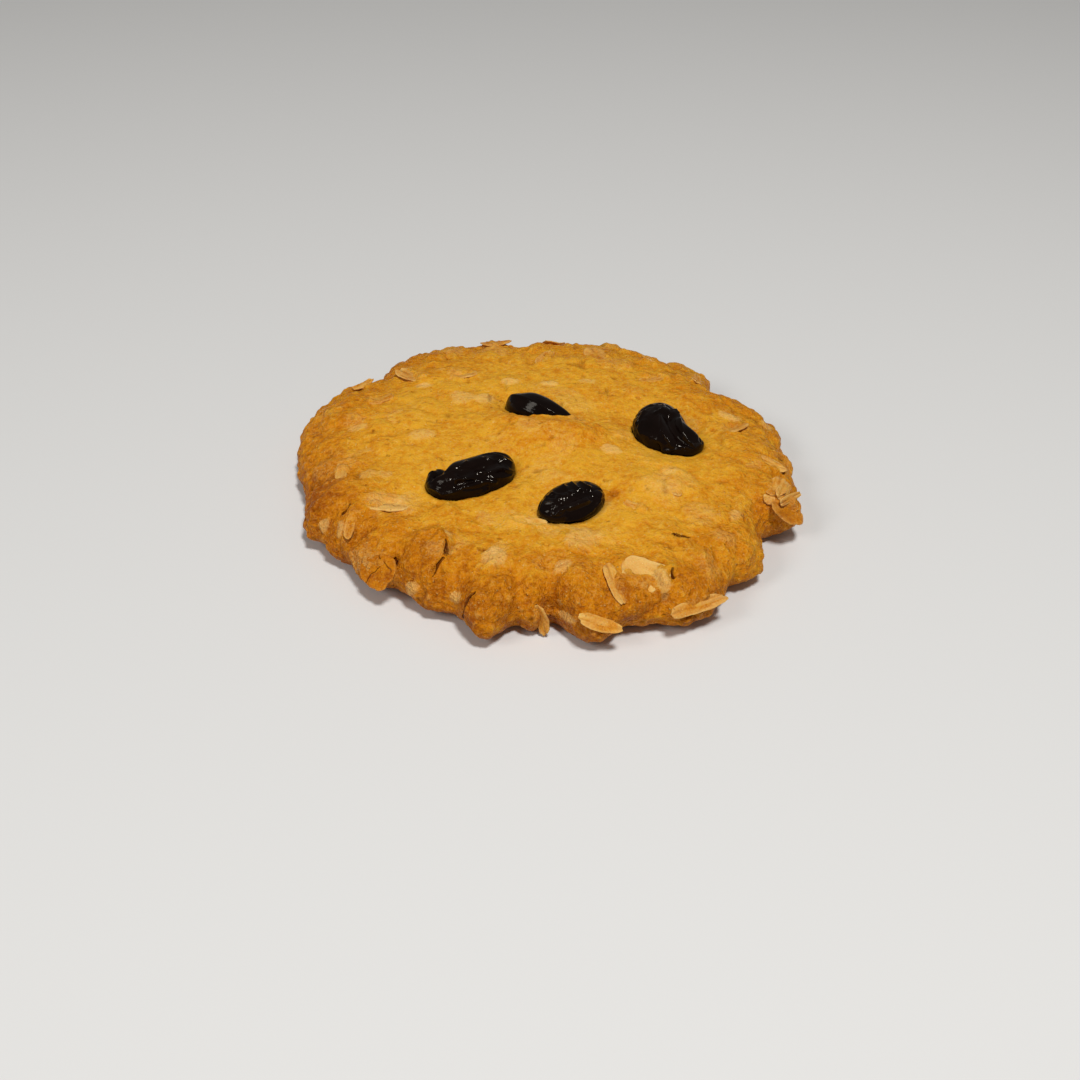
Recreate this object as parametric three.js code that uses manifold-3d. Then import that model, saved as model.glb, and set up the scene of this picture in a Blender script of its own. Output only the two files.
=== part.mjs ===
// An oatmeal raisin cookie: one baked round with a lobed rim, rolled oats caught in its crust,
// and four raisins that lie in hollows of its top. Millimetres, +Z up, origin on the table under
// the middle of the cookie. The side that faces the viewer is -Y.
import * as THREE from "three";
import { mergeVertices } from "three/addons/utils/BufferGeometryUtils.js";
import Module from "manifold-3d";

const wasm = await Module();
wasm.setup();

const degrees = Math.PI / 180;
const clamp = THREE.MathUtils.clamp;
const lerp = THREE.MathUtils.lerp;

// Driving dimensions of the round
const lipHeight = 3.4; // the widest point above the table
const shoulderWidth = 8.5; // from the lip in to the flat of the top
const shoulderRise = 4.6; // from the lip up to the flat of the top
const shoulderPower = 2.2; // 2 is an ellipse, more is squarer
const domeRise = 2.0; // how much the middle stands above the shoulder
const footInset = 5.6; // from the lip in to where the underside meets the table
const footPower = 1.7;
const rimSmoothing = 16; // degrees each way over which the rim's wobble dies out inwards and below
const shoulderStart = 0.77; // share of the top's grid that is flat rather than shoulder

// Crowns and notches of the rim, anticlockwise from +X: angle in degrees, radius
const rim = [
  [0, 41.6], [8, 41.4], [19, 43.0], [26, 40.6], [35, 37.8], [46, 42.4], [53, 41.4], [57, 39.6],
  [63, 41.2], [74, 40.8], [86, 39.8], [90, 40.8], [95.5, 37.4], [103, 42.2], [109, 41.7], [126, 43.0],
  [134, 41.0], [140, 37.9], [148, 42.4], [163, 43.4], [171, 41.7], [187, 39.8], [194, 39.4], [204, 41.0],
  [209, 39.5], [213, 40.0], [219, 38.0], [227, 39.2], [234, 36.8], [244, 38.6], [250, 38.2], [259, 41.4],
  [265, 37.8], [268, 38.8], [272.5, 35.8], [281, 43.0], [289, 39.8], [294, 40.2], [300, 43.6], [307, 43.0],
  [315, 40.4], [323, 42.6], [336, 38.4], [343, 43.4], [351, 42.4],
];

// Hills and dips of the top: x, y, radius, height
const mounds = [
  [2, 4, 7, 1.5], [-24, 4, 10, 0.6], [30, -6, 8, 0.8], [8, 24, 9, 0.5], [-16, 22, 9, 0.5],
  [9, 10, 5, -0.9], [-2, -30, 8, 0.5], [-17.5, -27.5, 5, 0.9], [13.5, -34, 5, 0.8], [24, -27, 6, 0.6],
  [28, 18, 7, 0.5], [-30, -14, 5, 0.7], [17, -10, 6, 0.6], [-7, -20, 6, -0.4], [-33, 12, 6, 0.5],
  [34, -18, 4, -0.7], [-6.5, 5.5, 3.5, 1.0], [-27, -27, 3, 0.4], [-8, -38, 4, 0.7], [6, -37, 4, 0.7],
  [22, -34, 4, 0.6],
];
const lumps = [ // wavelength, height in the middle, height at the rim
  [6.5, 0.3, 0.42],
  [3.2, 0.16, 0.34],
];
const lumpDip = 0.55; // how far the valleys between the rim's lumps are let in, as a share of their height
const lumpFade = [0.45, 0.85]; // shares of the section between which the middle's lumps become the rim's

// The raisins: place on the top, turn, length, width, thickness, sink of the middle below the top,
// taper towards the far end, sideways bend, bluntness of the ends (2 is an oval), and the valleys of
// the skin: from and to (share along, degrees round), depth, width
const raisins = [
  {
    name: "raisin_left", x: -11.0, y: -10.4, turn: 28, long: 15.2, wide: 7.4, thick: 6.4,
    sink: 0, taper: 0, bend: 0.9, blunt: 3.4,
    valleys: [
      [-0.3, 20, -0.75, 80, 2.2, 0.8], [-0.3, 112, 0.55, 108, 0.7, 1.1], [-0.5, 145, 0.1, 146, 0.4, 0.6],
    ],
  },
  {
    name: "raisin_front", x: 4.6, y: -17.4, turn: 33, long: 11.5, wide: 7.9, thick: 5.4,
    sink: -0.3, taper: 0.1, bend: 0, blunt: 1.8,
    valleys: [
      [-0.6, 116, 0.3, 114, 0.5, 0.7], [-0.35, 160, 0.35, 154, 0.4, 0.9], [-0.5, 70, -0.1, 86, 0.4, 0.7],
    ],
  },
  {
    name: "raisin_back", x: -0.6, y: 9.1, turn: -27, long: 12.6, wide: 6.1, thick: 6.4,
    sink: 0.9, taper: -0.27, bend: 0.6, blunt: 1.8,
    valleys: [[-0.9, 40, -0.6, 70, 0.3, 1.4]],
  },
  {
    name: "raisin_right", x: 20.9, y: 3.4, turn: -55, long: 13.8, wide: 9.3, thick: 7.2,
    sink: -0.3, taper: -0.1, bend: 1.1, blunt: 3.0,
    valleys: [
      [0.1, -4, 0.5, 29, 2.4, 2.0], [0.0, 86, 0.8, 130, 1.1, 0.9], [0.35, 175, 0.45, 205, 0.7, 0.8],
    ],
  },
];
const raisinGap = 0.3; // clear space between a raisin and its hollow
const raisinRise = 1.0; // a raisin's middle above the crust there, before its sink
const hollowDepth = 1.0; // how far the crust round a raisin is pressed down
const hollowSpread = 4.0; // larger is wider
const spineDip = 0.4; // keeps a bent raisin's middle near its place
const raisinRings = 14;
const raisinSegments = 18;
const valleyWidth = 1.1; // no valley is narrower here: its facets couldn't follow it

// Oats that show: x, y, length, width, turn, tilt, lift of the middle over the crust
const shownOats = [
  [-24.1, -17.2, 7.0, 3.0, -3, -12, -0.15], [-24.0, -28.9, 6.2, 5.6, -38, -10, 0.15],
  [-1.9, -21.4, 6.0, 2.2, -8, 8, -0.1], [15.0, -33.0, 7.4, 5.4, -14, 16, -0.4],
  [10.6, -34.9, 7.2, 2.2, -71, -14, -0.15], [22.8, -36.2, 9.8, 2.2, 29, -12, -0.05],
  [8.5, -41.0, 6.4, 2.2, -10, -12, 0.0], [37.4, -9.9, 5.2, 3.2, 72, -20, -0.1],
  [39.0, -11.6, 6.4, 1.3, 49, 30, 0.15], [38.1, -10.6, 5.0, 2.4, 64, 24, -0.05],
  [35.9, -12.8, 2.4, 1.7, 0, 14, 0.0], [38.6, -13.6, 6.4, 5.2, 40, -10, 0.3],
  [37.5, -2.9, 4.8, 2.4, -20, 10, -0.15], [19.9, -8.9, 4.6, 2.0, 16, -12, -0.15],
  [20.9, -13.1, 3.6, 1.8, 102, 10, -0.15], [14.5, -17.3, 4.0, 1.6, -34, 10, -0.15],
  [32.4, 6.6, 5.4, 3.0, 34, -26, -0.05], [-13.7, 21.2, 5.0, 2.4, 26, -16, -0.15],
  [-27.9, 13.4, 4.8, 3.0, 36, -12, -0.15], [-32.0, -8.6, 5.2, 2.0, 96, -14, -0.15],
  [0.2, 28.6, 5.6, 2.0, 61, 18, -0.1], [-8.8, 35.4, 6.0, 3.2, 12, -8, -0.05],
  [27.4, 24.2, 4.4, 2.0, 82, 16, -0.05], [0.4, -37.6, 5.6, 2.0, 104, -24, 0.0],
  [-29.2, -20.8, 6.0, 1.6, 82, 24, 0.0],
];

// The rest of the oats, spread by a sunflower rule over the far side
const scatteredOats = 60; // how many the rule gives for the whole round
const scatterBehind = 20; // those nearer than this y are left out
const scatterTurn = 137.508; // degrees from one to the next
const scatterStray = 40; // degrees that one may stray from its turn
const scatterReach = 0.985; // of the rim's radius
const oatLength = [3.6, 6.4];
const oatWidthShare = [0.45, 0.75];
const oatTilt = [20, 50]; // degrees from the least to the most tilt, in the middle and at the rim
const oatTiltBack = 0.3; // the share of that spread that tilts the other way
const oatLift = [-0.1, 0.25]; // in the middle and at the rim
const oatRimStart = 0.75; // of the rim's radius, where oats begin to stand up more
const oatThickness = 0.7;
const oatSides = 12;
const oatClear = 3.0; // no scattered oat nearer than this to a raisin's edge
const oatApart = 6.0;
const oatCup = 0.2; // how far the ends of an oat curl up

const gridCells = 44; // along each side of the square grid that is bent into the round top
const bellyRings = 4; // rings from the lip down to the foot

const crustMaterial = new THREE.MeshStandardMaterial({ color: 0xc8913f, roughness: 0.85, metalness: 0 });
const raisinMaterial = new THREE.MeshStandardMaterial({ color: 0x120b0d, roughness: 0.25, metalness: 0 });

// A fixed number from -1 to 1 for each corner of a lattice
function lattice(i, j, k) {
  const wave = Math.sin(i * 127.1 + j * 311.7 + k * 74.7) * 43758.5453;
  return (wave - Math.floor(wave)) * 2 - 1;
}

function chance(n) {
  return lattice(n, 5, 9) * 0.5 + 0.5;
}

// Smooth noise from -1 to 1: the eight lattice corners round a point, blended
function noise(x, y, z) {
  const [i, j, k] = [Math.floor(x), Math.floor(y), Math.floor(z)];
  const fade = (t) => t * t * (3 - 2 * t);
  const [u, v, w] = [fade(x - i), fade(y - j), fade(z - k)];
  const alongX = (b, c) => lerp(lattice(i, j + b, k + c), lattice(i + 1, j + b, k + c), u);
  return lerp(lerp(alongX(0, 0), alongX(1, 0), v), lerp(alongX(0, 1), alongX(1, 1), v), w);
}

// Radius of the lip: an eased step from each crown or notch to the next
function rimRadius(angle) {
  const turn = ((angle / degrees) % 360 + 360) % 360;
  let next = rim.findIndex(([at]) => at > turn);
  if (next < 0) next = rim.length;
  const [fromAt, fromRadius] = rim[next - 1];
  const [toAt, toRadius] = next < rim.length ? rim[next] : [360, rim[0][1]];
  const t = (turn - fromAt) / (toAt - fromAt);
  return lerp(fromRadius, toRadius, t * t * (3 - 2 * t));
}

// The rim's radius with its small crowns and notches averaged out
function plainRimRadius(angle) {
  const steps = [-1, -0.5, 0, 0.5, 1];
  const radii = steps.map((step) => rimRadius(angle + step * rimSmoothing * degrees));
  return radii.reduce((sum, radius) => sum + radius, 0) / steps.length;
}

// A raisin's own outline: how far (x, y) is from its middle, as a share of its size, 1 at the edge
function raisinShare(raisin, x, y) {
  const [c, s] = [Math.cos(raisin.turn * degrees), Math.sin(raisin.turn * degrees)];
  const along = (x - raisin.x) * c + (y - raisin.y) * s;
  const across = -(x - raisin.x) * s + (y - raisin.y) * c;
  return Math.hypot(along / (raisin.long / 2), across / (raisin.wide / 2));
}

// Height of hills, dips, lumps and the hollows round the raisins, over the plain round
function relief(x, y, z, share) {
  let height = 0;
  for (const [mx, my, radius, rise] of mounds) {
    height += rise * Math.exp(-((x - mx) ** 2 + (y - my) ** 2) / (radius * radius));
  }
  for (const [wave, middle, edge] of lumps) {
    const lump = noise(x / wave + 11.3, y / wave + 4.7, z / wave + 2.1);
    const atRim = edge * (2 * Math.abs(lump) - lumpDip);
    const fade = clamp((share - lumpFade[0]) / (lumpFade[1] - lumpFade[0]), 0, 1);
    height += lerp(middle * lump, atRim, fade);
  }
  for (const raisin of raisins) {
    height -= hollowDepth * Math.exp(-(raisinShare(raisin, x, y) ** 4) / hollowSpread);
  }
  return height;
}

// The plain round's section. share 0 is the middle of the top, 1 the lip and 2 the foot.
// Gives the radius, the height and the outward direction in the section.
function section(share, angle) {
  const lipRadius = rimRadius(angle);
  const flat = plainRimRadius(angle) - shoulderWidth;
  if (share < shoulderStart) {
    const radius = (flat * share) / shoulderStart;
    const dome = domeRise * (1 - (radius / lipRadius) ** 2);
    return { radius, height: lipHeight + shoulderRise + dome, out: 0, up: 1 };
  }
  if (share <= 1) {
    const climb = ((1 - share) / (1 - shoulderStart)) * (Math.PI / 2);
    const [c, s] = [Math.cos(climb), Math.sin(climb)];
    const radius = flat + (lipRadius - flat) * Math.max(c, 0) ** (2 / shoulderPower);
    const dome = domeRise * (1 - (radius / lipRadius) ** 2);
    const height = lipHeight + (shoulderRise + dome) * s ** (2 / shoulderPower);
    const length = Math.hypot(c / shoulderWidth, s / shoulderRise);
    return { radius, height, out: c / shoulderWidth / length, up: s / shoulderRise / length };
  }
  const drop = (share - 1) * (Math.PI / 2);
  const [c, s] = [Math.max(Math.cos(drop), 0), Math.sin(drop)];
  const footRadius = plainRimRadius(angle) - footInset;
  const radius = footRadius + (lipRadius - footRadius) * c ** (2 / footPower);
  const height = lipHeight * (1 - s ** (2 / footPower));
  const length = Math.hypot(c / footInset, s / lipHeight);
  return { radius, height, out: c / footInset / length, up: -s / lipHeight / length };
}

// A point of the crust and the way it faces
function crustPoint(angle, share) {
  const at = section(share, angle);
  const [c, s] = [Math.cos(angle), Math.sin(angle)];
  const point = new THREE.Vector3(at.radius * c, at.radius * s, at.height);
  const facing = new THREE.Vector3(at.out * c, at.out * s, at.up);
  const kept = clamp(2 - share, 0, 1); // the foot stays on the table
  point.addScaledVector(facing, relief(point.x, point.y, point.z, share) * kept);
  point.z = Math.max(point.z, 0);
  return { point, facing };
}

// The share of the section whose plain radius is the given one
function shareAt(radius, angle) {
  const flat = plainRimRadius(angle) - shoulderWidth;
  if (radius <= flat) return (shoulderStart * radius) / flat;
  const c = clamp((radius - flat) / (rimRadius(angle) - flat), 0, 1) ** (shoulderPower / 2);
  return 1 - (Math.acos(c) / (Math.PI / 2)) * (1 - shoulderStart);
}

// Bends a square, -1 to 1 each way, into a disc: its sides become the rim
function squareToDisc(a, b) {
  if (a === 0 && b === 0) return { share: 0, angle: 0 };
  if (Math.abs(a) > Math.abs(b)) {
    return { share: Math.abs(a), angle: (Math.PI / 4) * (b / a) + (a < 0 ? Math.PI : 0) };
  }
  return { share: Math.abs(b), angle: Math.PI / 2 - (Math.PI / 4) * (a / b) + (b < 0 ? Math.PI : 0) };
}

function geometryOf(points, triangles) {
  const geometry = new THREE.BufferGeometry();
  const numbers = points.flatMap((p) => [p.x, p.y, p.z]);
  geometry.setAttribute("position", new THREE.Float32BufferAttribute(numbers, 3));
  geometry.setIndex(triangles);
  return geometry;
}

// The bare round: a bent square grid over the top and shoulder, rings down to the foot, a flat base
function makeRound() {
  const points = [];
  const triangles = [];
  const row = gridCells + 1;
  for (let j = 0; j < row; j++) {
    for (let i = 0; i < row; i++) {
      const { share, angle } = squareToDisc((2 * i) / gridCells - 1, (2 * j) / gridCells - 1);
      points.push(crustPoint(angle, share).point);
    }
  }
  for (let j = 0; j < gridCells; j++) {
    for (let i = 0; i < gridCells; i++) {
      const a = j * row + i;
      triangles.push(a, a + 1, a + row + 1, a, a + row + 1, a + row);
    }
  }
  let ring = [];
  for (let i = 0; i < gridCells; i++) ring.push(i);
  for (let j = 0; j < gridCells; j++) ring.push(j * row + gridCells);
  for (let i = gridCells; i > 0; i--) ring.push(gridCells * row + i);
  for (let j = gridCells; j > 0; j--) ring.push(j * row);
  const angles = ring.map((at) => Math.atan2(points[at].y, points[at].x));
  for (let step = 1; step <= bellyRings; step++) {
    const below = angles.map((angle) => points.push(crustPoint(angle, 1 + step / bellyRings).point) - 1);
    ring.forEach((at, n) => {
      const after = (n + 1) % ring.length;
      triangles.push(at, below[n], below[after], at, below[after], ring[after]);
    });
    ring = below;
  }
  const middle = points.push(new THREE.Vector3(0, 0, 0)) - 1;
  ring.forEach((at, n) => triangles.push(middle, ring[(n + 1) % ring.length], at));
  return geometryOf(points, triangles);
}

// One rolled oat: an oval lens whose two ends curl up, long in X, wide in Y
function makeOat(long, wide) {
  const points = [new THREE.Vector3(0, 0, oatThickness / 2), new THREE.Vector3(0, 0, -oatThickness / 2)];
  const triangles = [];
  for (const side of [1, -1]) {
    for (let n = 0; n < oatSides; n++) {
      const angle = (n / oatSides) * Math.PI * 2;
      const [c, s] = [Math.cos(angle), Math.sin(angle)];
      const height = (side * oatThickness) / 3 + oatCup * c * c;
      points.push(new THREE.Vector3((long / 2) * c, (wide / 2) * s, height));
    }
  }
  for (let n = 0; n < oatSides; n++) {
    const after = (n + 1) % oatSides;
    const [top, topAfter] = [2 + n, 2 + after];
    const [low, lowAfter] = [top + oatSides, topAfter + oatSides];
    triangles.push(0, top, topAfter, 1, lowAfter, low, top, low, lowAfter, top, lowAfter, topAfter);
  }
  return geometryOf(points, triangles);
}

// Lays an oat on the crust at (x, y), turned about the way the crust faces, then tilted on its length
function layOat([x, y, long, wide, turn, tilt, lift]) {
  const angle = Math.atan2(y, x);
  const { point, facing } = crustPoint(angle, shareAt(Math.hypot(x, y), angle));
  const lie = new THREE.Quaternion().setFromUnitVectors(new THREE.Vector3(0, 0, 1), facing);
  lie.multiply(new THREE.Quaternion().setFromAxisAngle(new THREE.Vector3(0, 0, 1), turn * degrees));
  lie.multiply(new THREE.Quaternion().setFromAxisAngle(new THREE.Vector3(1, 0, 0), tilt * degrees));
  const place = new THREE.Matrix4().makeRotationFromQuaternion(lie);
  place.setPosition(point.addScaledVector(facing, lift));
  return makeOat(long, wide).applyMatrix4(place);
}

// Oats of the sunflower rule, clear of the raisins and of the oats already placed
function spreadOats() {
  const laid = [...shownOats];
  for (let n = 0; n < scatteredOats; n++) {
    const angle = (n * scatterTurn + scatterStray * chance(n)) * degrees;
    const radius = rimRadius(angle) * scatterReach * Math.sqrt((n + 0.5) / scatteredOats);
    const [x, y] = [radius * Math.cos(angle), radius * Math.sin(angle)];
    const nearRaisin = raisins.some((r) => raisinShare(r, x, y) < 1 + oatClear / (r.wide / 2));
    const nearOat = laid.some((oat) => Math.hypot(oat[0] - x, oat[1] - y) < oatApart);
    if (nearRaisin || nearOat || y < scatterBehind) continue;
    const long = lerp(...oatLength, chance(n + 100));
    const wide = long * lerp(...oatWidthShare, chance(n + 200));
    const edge = clamp((radius / rimRadius(angle) - oatRimStart) / (1 - oatRimStart), 0, 1);
    const outer = edge * edge * (3 - 2 * edge);
    const tilt = lerp(...oatTilt, outer) * (chance(n + 400) - oatTiltBack);
    const lift = lerp(...oatLift, outer) * chance(n + 500);
    laid.push([x, y, long, wide, 360 * chance(n + 300), tilt, lift]);
  }
  return laid;
}

// How deep the valleys of a raisin's skin are at a place: bell-shaped across straight runs that are
// measured in millimetres along the raisin and round it
function valleyDepth(raisin, along, angle) {
  const halfLong = raisin.long / 2;
  const girth = (raisin.wide + raisin.thick) / 4;
  let depth = 0;
  for (const [fromAlong, fromTurn, toAlong, toTurn, deep, width] of raisin.valleys) {
    const runX = (toAlong - fromAlong) * halfLong;
    const runY = (toTurn - fromTurn) * degrees * girth;
    const x = (along - fromAlong) * halfLong;
    const turn = THREE.MathUtils.euclideanModulo(angle - fromTurn * degrees + Math.PI, 2 * Math.PI) - Math.PI;
    const y = turn * girth;
    const t = clamp((x * runX + y * runY) / (runX * runX + runY * runY), 0, 1);
    const away = Math.hypot(x - t * runX, y - t * runY);
    depth += deep * Math.exp(-((away / Math.max(width, valleyWidth)) ** 2));
  }
  return depth;
}

// A raisin: rings along a bent spine, whose girth closes at both ends, less the valleys of its skin;
// grow swells it all over
function makeRaisin(raisin, grow) {
  const halfLong = raisin.long / 2 + grow;
  const [halfWide, halfThick] = [raisin.wide / 2 + grow, raisin.thick / 2 + grow];
  const points = [];
  for (let n = 0; n <= raisinRings; n++) {
    const along = -Math.cos((n / raisinRings) * Math.PI);
    const girth = Math.max(1 - Math.abs(along) ** raisin.blunt, 0) ** 0.5 * (1 + raisin.taper * along);
    const spineX = halfLong * along;
    const spineY = raisin.bend * (along * along - spineDip);
    const ends = n === 0 || n === raisinRings;
    for (let m = 0; m < (ends ? 1 : raisinSegments); m++) {
      const angle = (m / raisinSegments) * Math.PI * 2;
      const depth = valleyDepth(raisin, along, angle);
      const across = (halfWide - depth) * girth * Math.cos(angle);
      const up = (halfThick - depth) * girth * Math.sin(angle);
      points.push(new THREE.Vector3(spineX, spineY + across, up));
    }
  }
  const triangles = [];
  const last = points.length - 1;
  const at = (ring, m) => 1 + (ring - 1) * raisinSegments + (m % raisinSegments);
  for (let m = 0; m < raisinSegments; m++) {
    triangles.push(0, at(1, m + 1), at(1, m), last, at(raisinRings - 1, m), at(raisinRings - 1, m + 1));
    for (let ring = 1; ring < raisinRings - 1; ring++) {
      triangles.push(at(ring, m), at(ring, m + 1), at(ring + 1, m + 1));
      triangles.push(at(ring, m), at(ring + 1, m + 1), at(ring + 1, m));
    }
  }
  const lie = new THREE.Matrix4().makeRotationZ(raisin.turn * degrees);
  lie.setPosition(raisin.x, raisin.y, raisinHeight(raisin));
  return geometryOf(points, triangles).applyMatrix4(lie);
}

// Height of a raisin's middle: the crust's own height there, less its sink
function raisinHeight(raisin) {
  const angle = Math.atan2(raisin.y, raisin.x);
  const { point } = crustPoint(angle, shareAt(Math.hypot(raisin.x, raisin.y), angle));
  return point.z + raisinRise - raisin.sink;
}

function solidOf(geometry) {
  const merged = mergeVertices(geometry, 1e-4);
  const vertProperties = new Float32Array(merged.attributes.position.array);
  const triVerts = new Uint32Array(merged.index.array);
  return new wasm.Manifold(new wasm.Mesh({ numProp: 3, vertProperties, triVerts }));
}

function geometryFrom(solid) {
  const { vertProperties, triVerts } = solid.getMesh();
  const geometry = new THREE.BufferGeometry();
  geometry.setAttribute("position", new THREE.BufferAttribute(new Float32Array(vertProperties), 3));
  geometry.setIndex(new THREE.BufferAttribute(new Uint32Array(triVerts), 1));
  return geometry;
}

// The largest body of a solid, so that a loose scrap or a sealed pocket is dropped
function largestBody(solid) {
  return solid.decompose().reduce((best, body) => (body.volume() > best.volume() ? body : best));
}

function makeCookie() {
  let crust = solidOf(makeRound());
  for (const oat of spreadOats()) crust = crust.add(solidOf(layOat(oat)));
  for (const raisin of raisins) crust = crust.subtract(solidOf(makeRaisin(raisin, raisinGap)));
  return geometryFrom(largestBody(crust));
}

function namedMesh(name, geometry, material) {
  const mesh = new THREE.Mesh(geometry, material);
  mesh.name = name;
  return mesh;
}

const cookie = new THREE.Group();
cookie.add(namedMesh("cookie", makeCookie(), crustMaterial));
for (const raisin of raisins) {
  cookie.add(namedMesh(raisin.name, makeRaisin(raisin, 0), raisinMaterial));
}

// The origin goes under the middle of the whole
const bounds = new THREE.Box3().setFromObject(cookie);
const middle = bounds.getCenter(new THREE.Vector3());
cookie.position.set(-middle.x, -middle.y, -bounds.min.z);

export default cookie;
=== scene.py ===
import math

import bpy
import numpy as np
from mathutils import Matrix, Vector


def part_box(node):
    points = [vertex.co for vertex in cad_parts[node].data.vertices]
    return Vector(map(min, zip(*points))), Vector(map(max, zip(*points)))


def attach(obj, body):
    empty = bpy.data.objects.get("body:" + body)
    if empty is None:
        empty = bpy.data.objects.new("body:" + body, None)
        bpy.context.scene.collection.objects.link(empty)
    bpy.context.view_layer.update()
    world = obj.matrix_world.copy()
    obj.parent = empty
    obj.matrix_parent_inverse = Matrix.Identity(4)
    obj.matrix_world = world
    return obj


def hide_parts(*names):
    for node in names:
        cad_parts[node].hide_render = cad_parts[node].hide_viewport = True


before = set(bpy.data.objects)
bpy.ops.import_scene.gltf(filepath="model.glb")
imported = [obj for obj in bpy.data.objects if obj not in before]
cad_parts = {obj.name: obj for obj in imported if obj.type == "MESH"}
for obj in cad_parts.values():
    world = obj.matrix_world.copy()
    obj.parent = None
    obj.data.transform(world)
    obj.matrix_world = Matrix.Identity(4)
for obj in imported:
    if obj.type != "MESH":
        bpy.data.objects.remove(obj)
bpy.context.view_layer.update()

mm = 0.001  # shapes below are worked out in millimetres, and put into meshes in metres
degrees = math.pi / 180
goldenTurn = 137.508  # degrees from one flake of an even spread to the next

# The camera: where it stands and the spot of the table that it looks at, from the middle of the cookie
cameraView = {
    "distance": 240.0,
    "elevation": 35.0,
    "aim": (-0.14, -13.71, 0.0),
    "roll": 0.72,  # the right side of the picture hangs down a little
    "focalPixels": 1425.6,
    "imagePixels": 1080,
}

# The baked round, with the solid's own driving sizes
crust = {
    "lipHeight": 3.4,
    "shoulderWidth": 8.5,
    "shoulderRise": 4.6,
    "shoulderPower": 2.2,
    "domeRise": 2.0,
    "footInset": 5.6,
    "footPower": 1.7,
    "rimSmoothing": 16,
    "shoulderStart": 0.77,
    "rim": [  # crowns and notches of the lip: angle in degrees, radius
        [0, 41.6], [8, 41.4], [19, 43], [26, 40.6], [35, 37.8], [46, 42.4], [53, 41.4], [57, 39.6],
        [63, 41.2], [74, 40.8], [86, 39.8], [90, 40.8], [95.5, 37.4], [103, 42.2], [109, 41.7], [126, 43],
        [134, 41], [140, 37.9], [148, 42.4], [163, 43.4], [171, 41.7], [187, 39.8], [194, 39.4], [204, 41],
        [209, 39.5], [213, 40], [219, 38], [227, 39.2], [234, 36.8], [244, 38.6], [250, 38.2], [259, 41.4],
        [265, 37.8], [268, 38.8], [272.5, 35.8], [281, 43], [289, 39.8], [294, 40.2], [300, 43.6],
        [307, 43], [315, 40.4], [323, 42.6], [336, 38.4], [343, 43.4], [351, 42.4],
    ],
    "mounds": [  # hills and dips of the top: x, y, radius, height
        [2, 4, 7, 1.5], [-24, 4, 10, 0.6], [30, -6, 8, 0.8], [8, 24, 9, 0.5], [-16, 22, 9, 0.5],
        [9, 10, 5, -0.9], [-2, -30, 8, 0.5], [-17.5, -27.5, 5, 0.9], [13.5, -34, 5, 0.8],
        [24, -27, 6, 0.6], [28, 18, 7, 0.5], [-30, -14, 5, 0.7], [17, -10, 6, 0.6], [-7, -20, 6, -0.4],
        [-33, 12, 6, 0.5], [34, -18, 4, -0.7], [-6.5, 5.5, 3.5, 1], [-27, -27, 3, 0.4], [-8, -38, 4, 0.7],
        [6, -37, 4, 0.7], [22, -34, 4, 0.6],
    ],
    "lumps": [[6.5, 0.3, 0.42], [3.2, 0.16, 0.34]],  # wavelength, height in the middle, height at the rim
    "gridCells": 280,
    "bellyRings": 10,
    "baseRings": 8,
}

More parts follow.
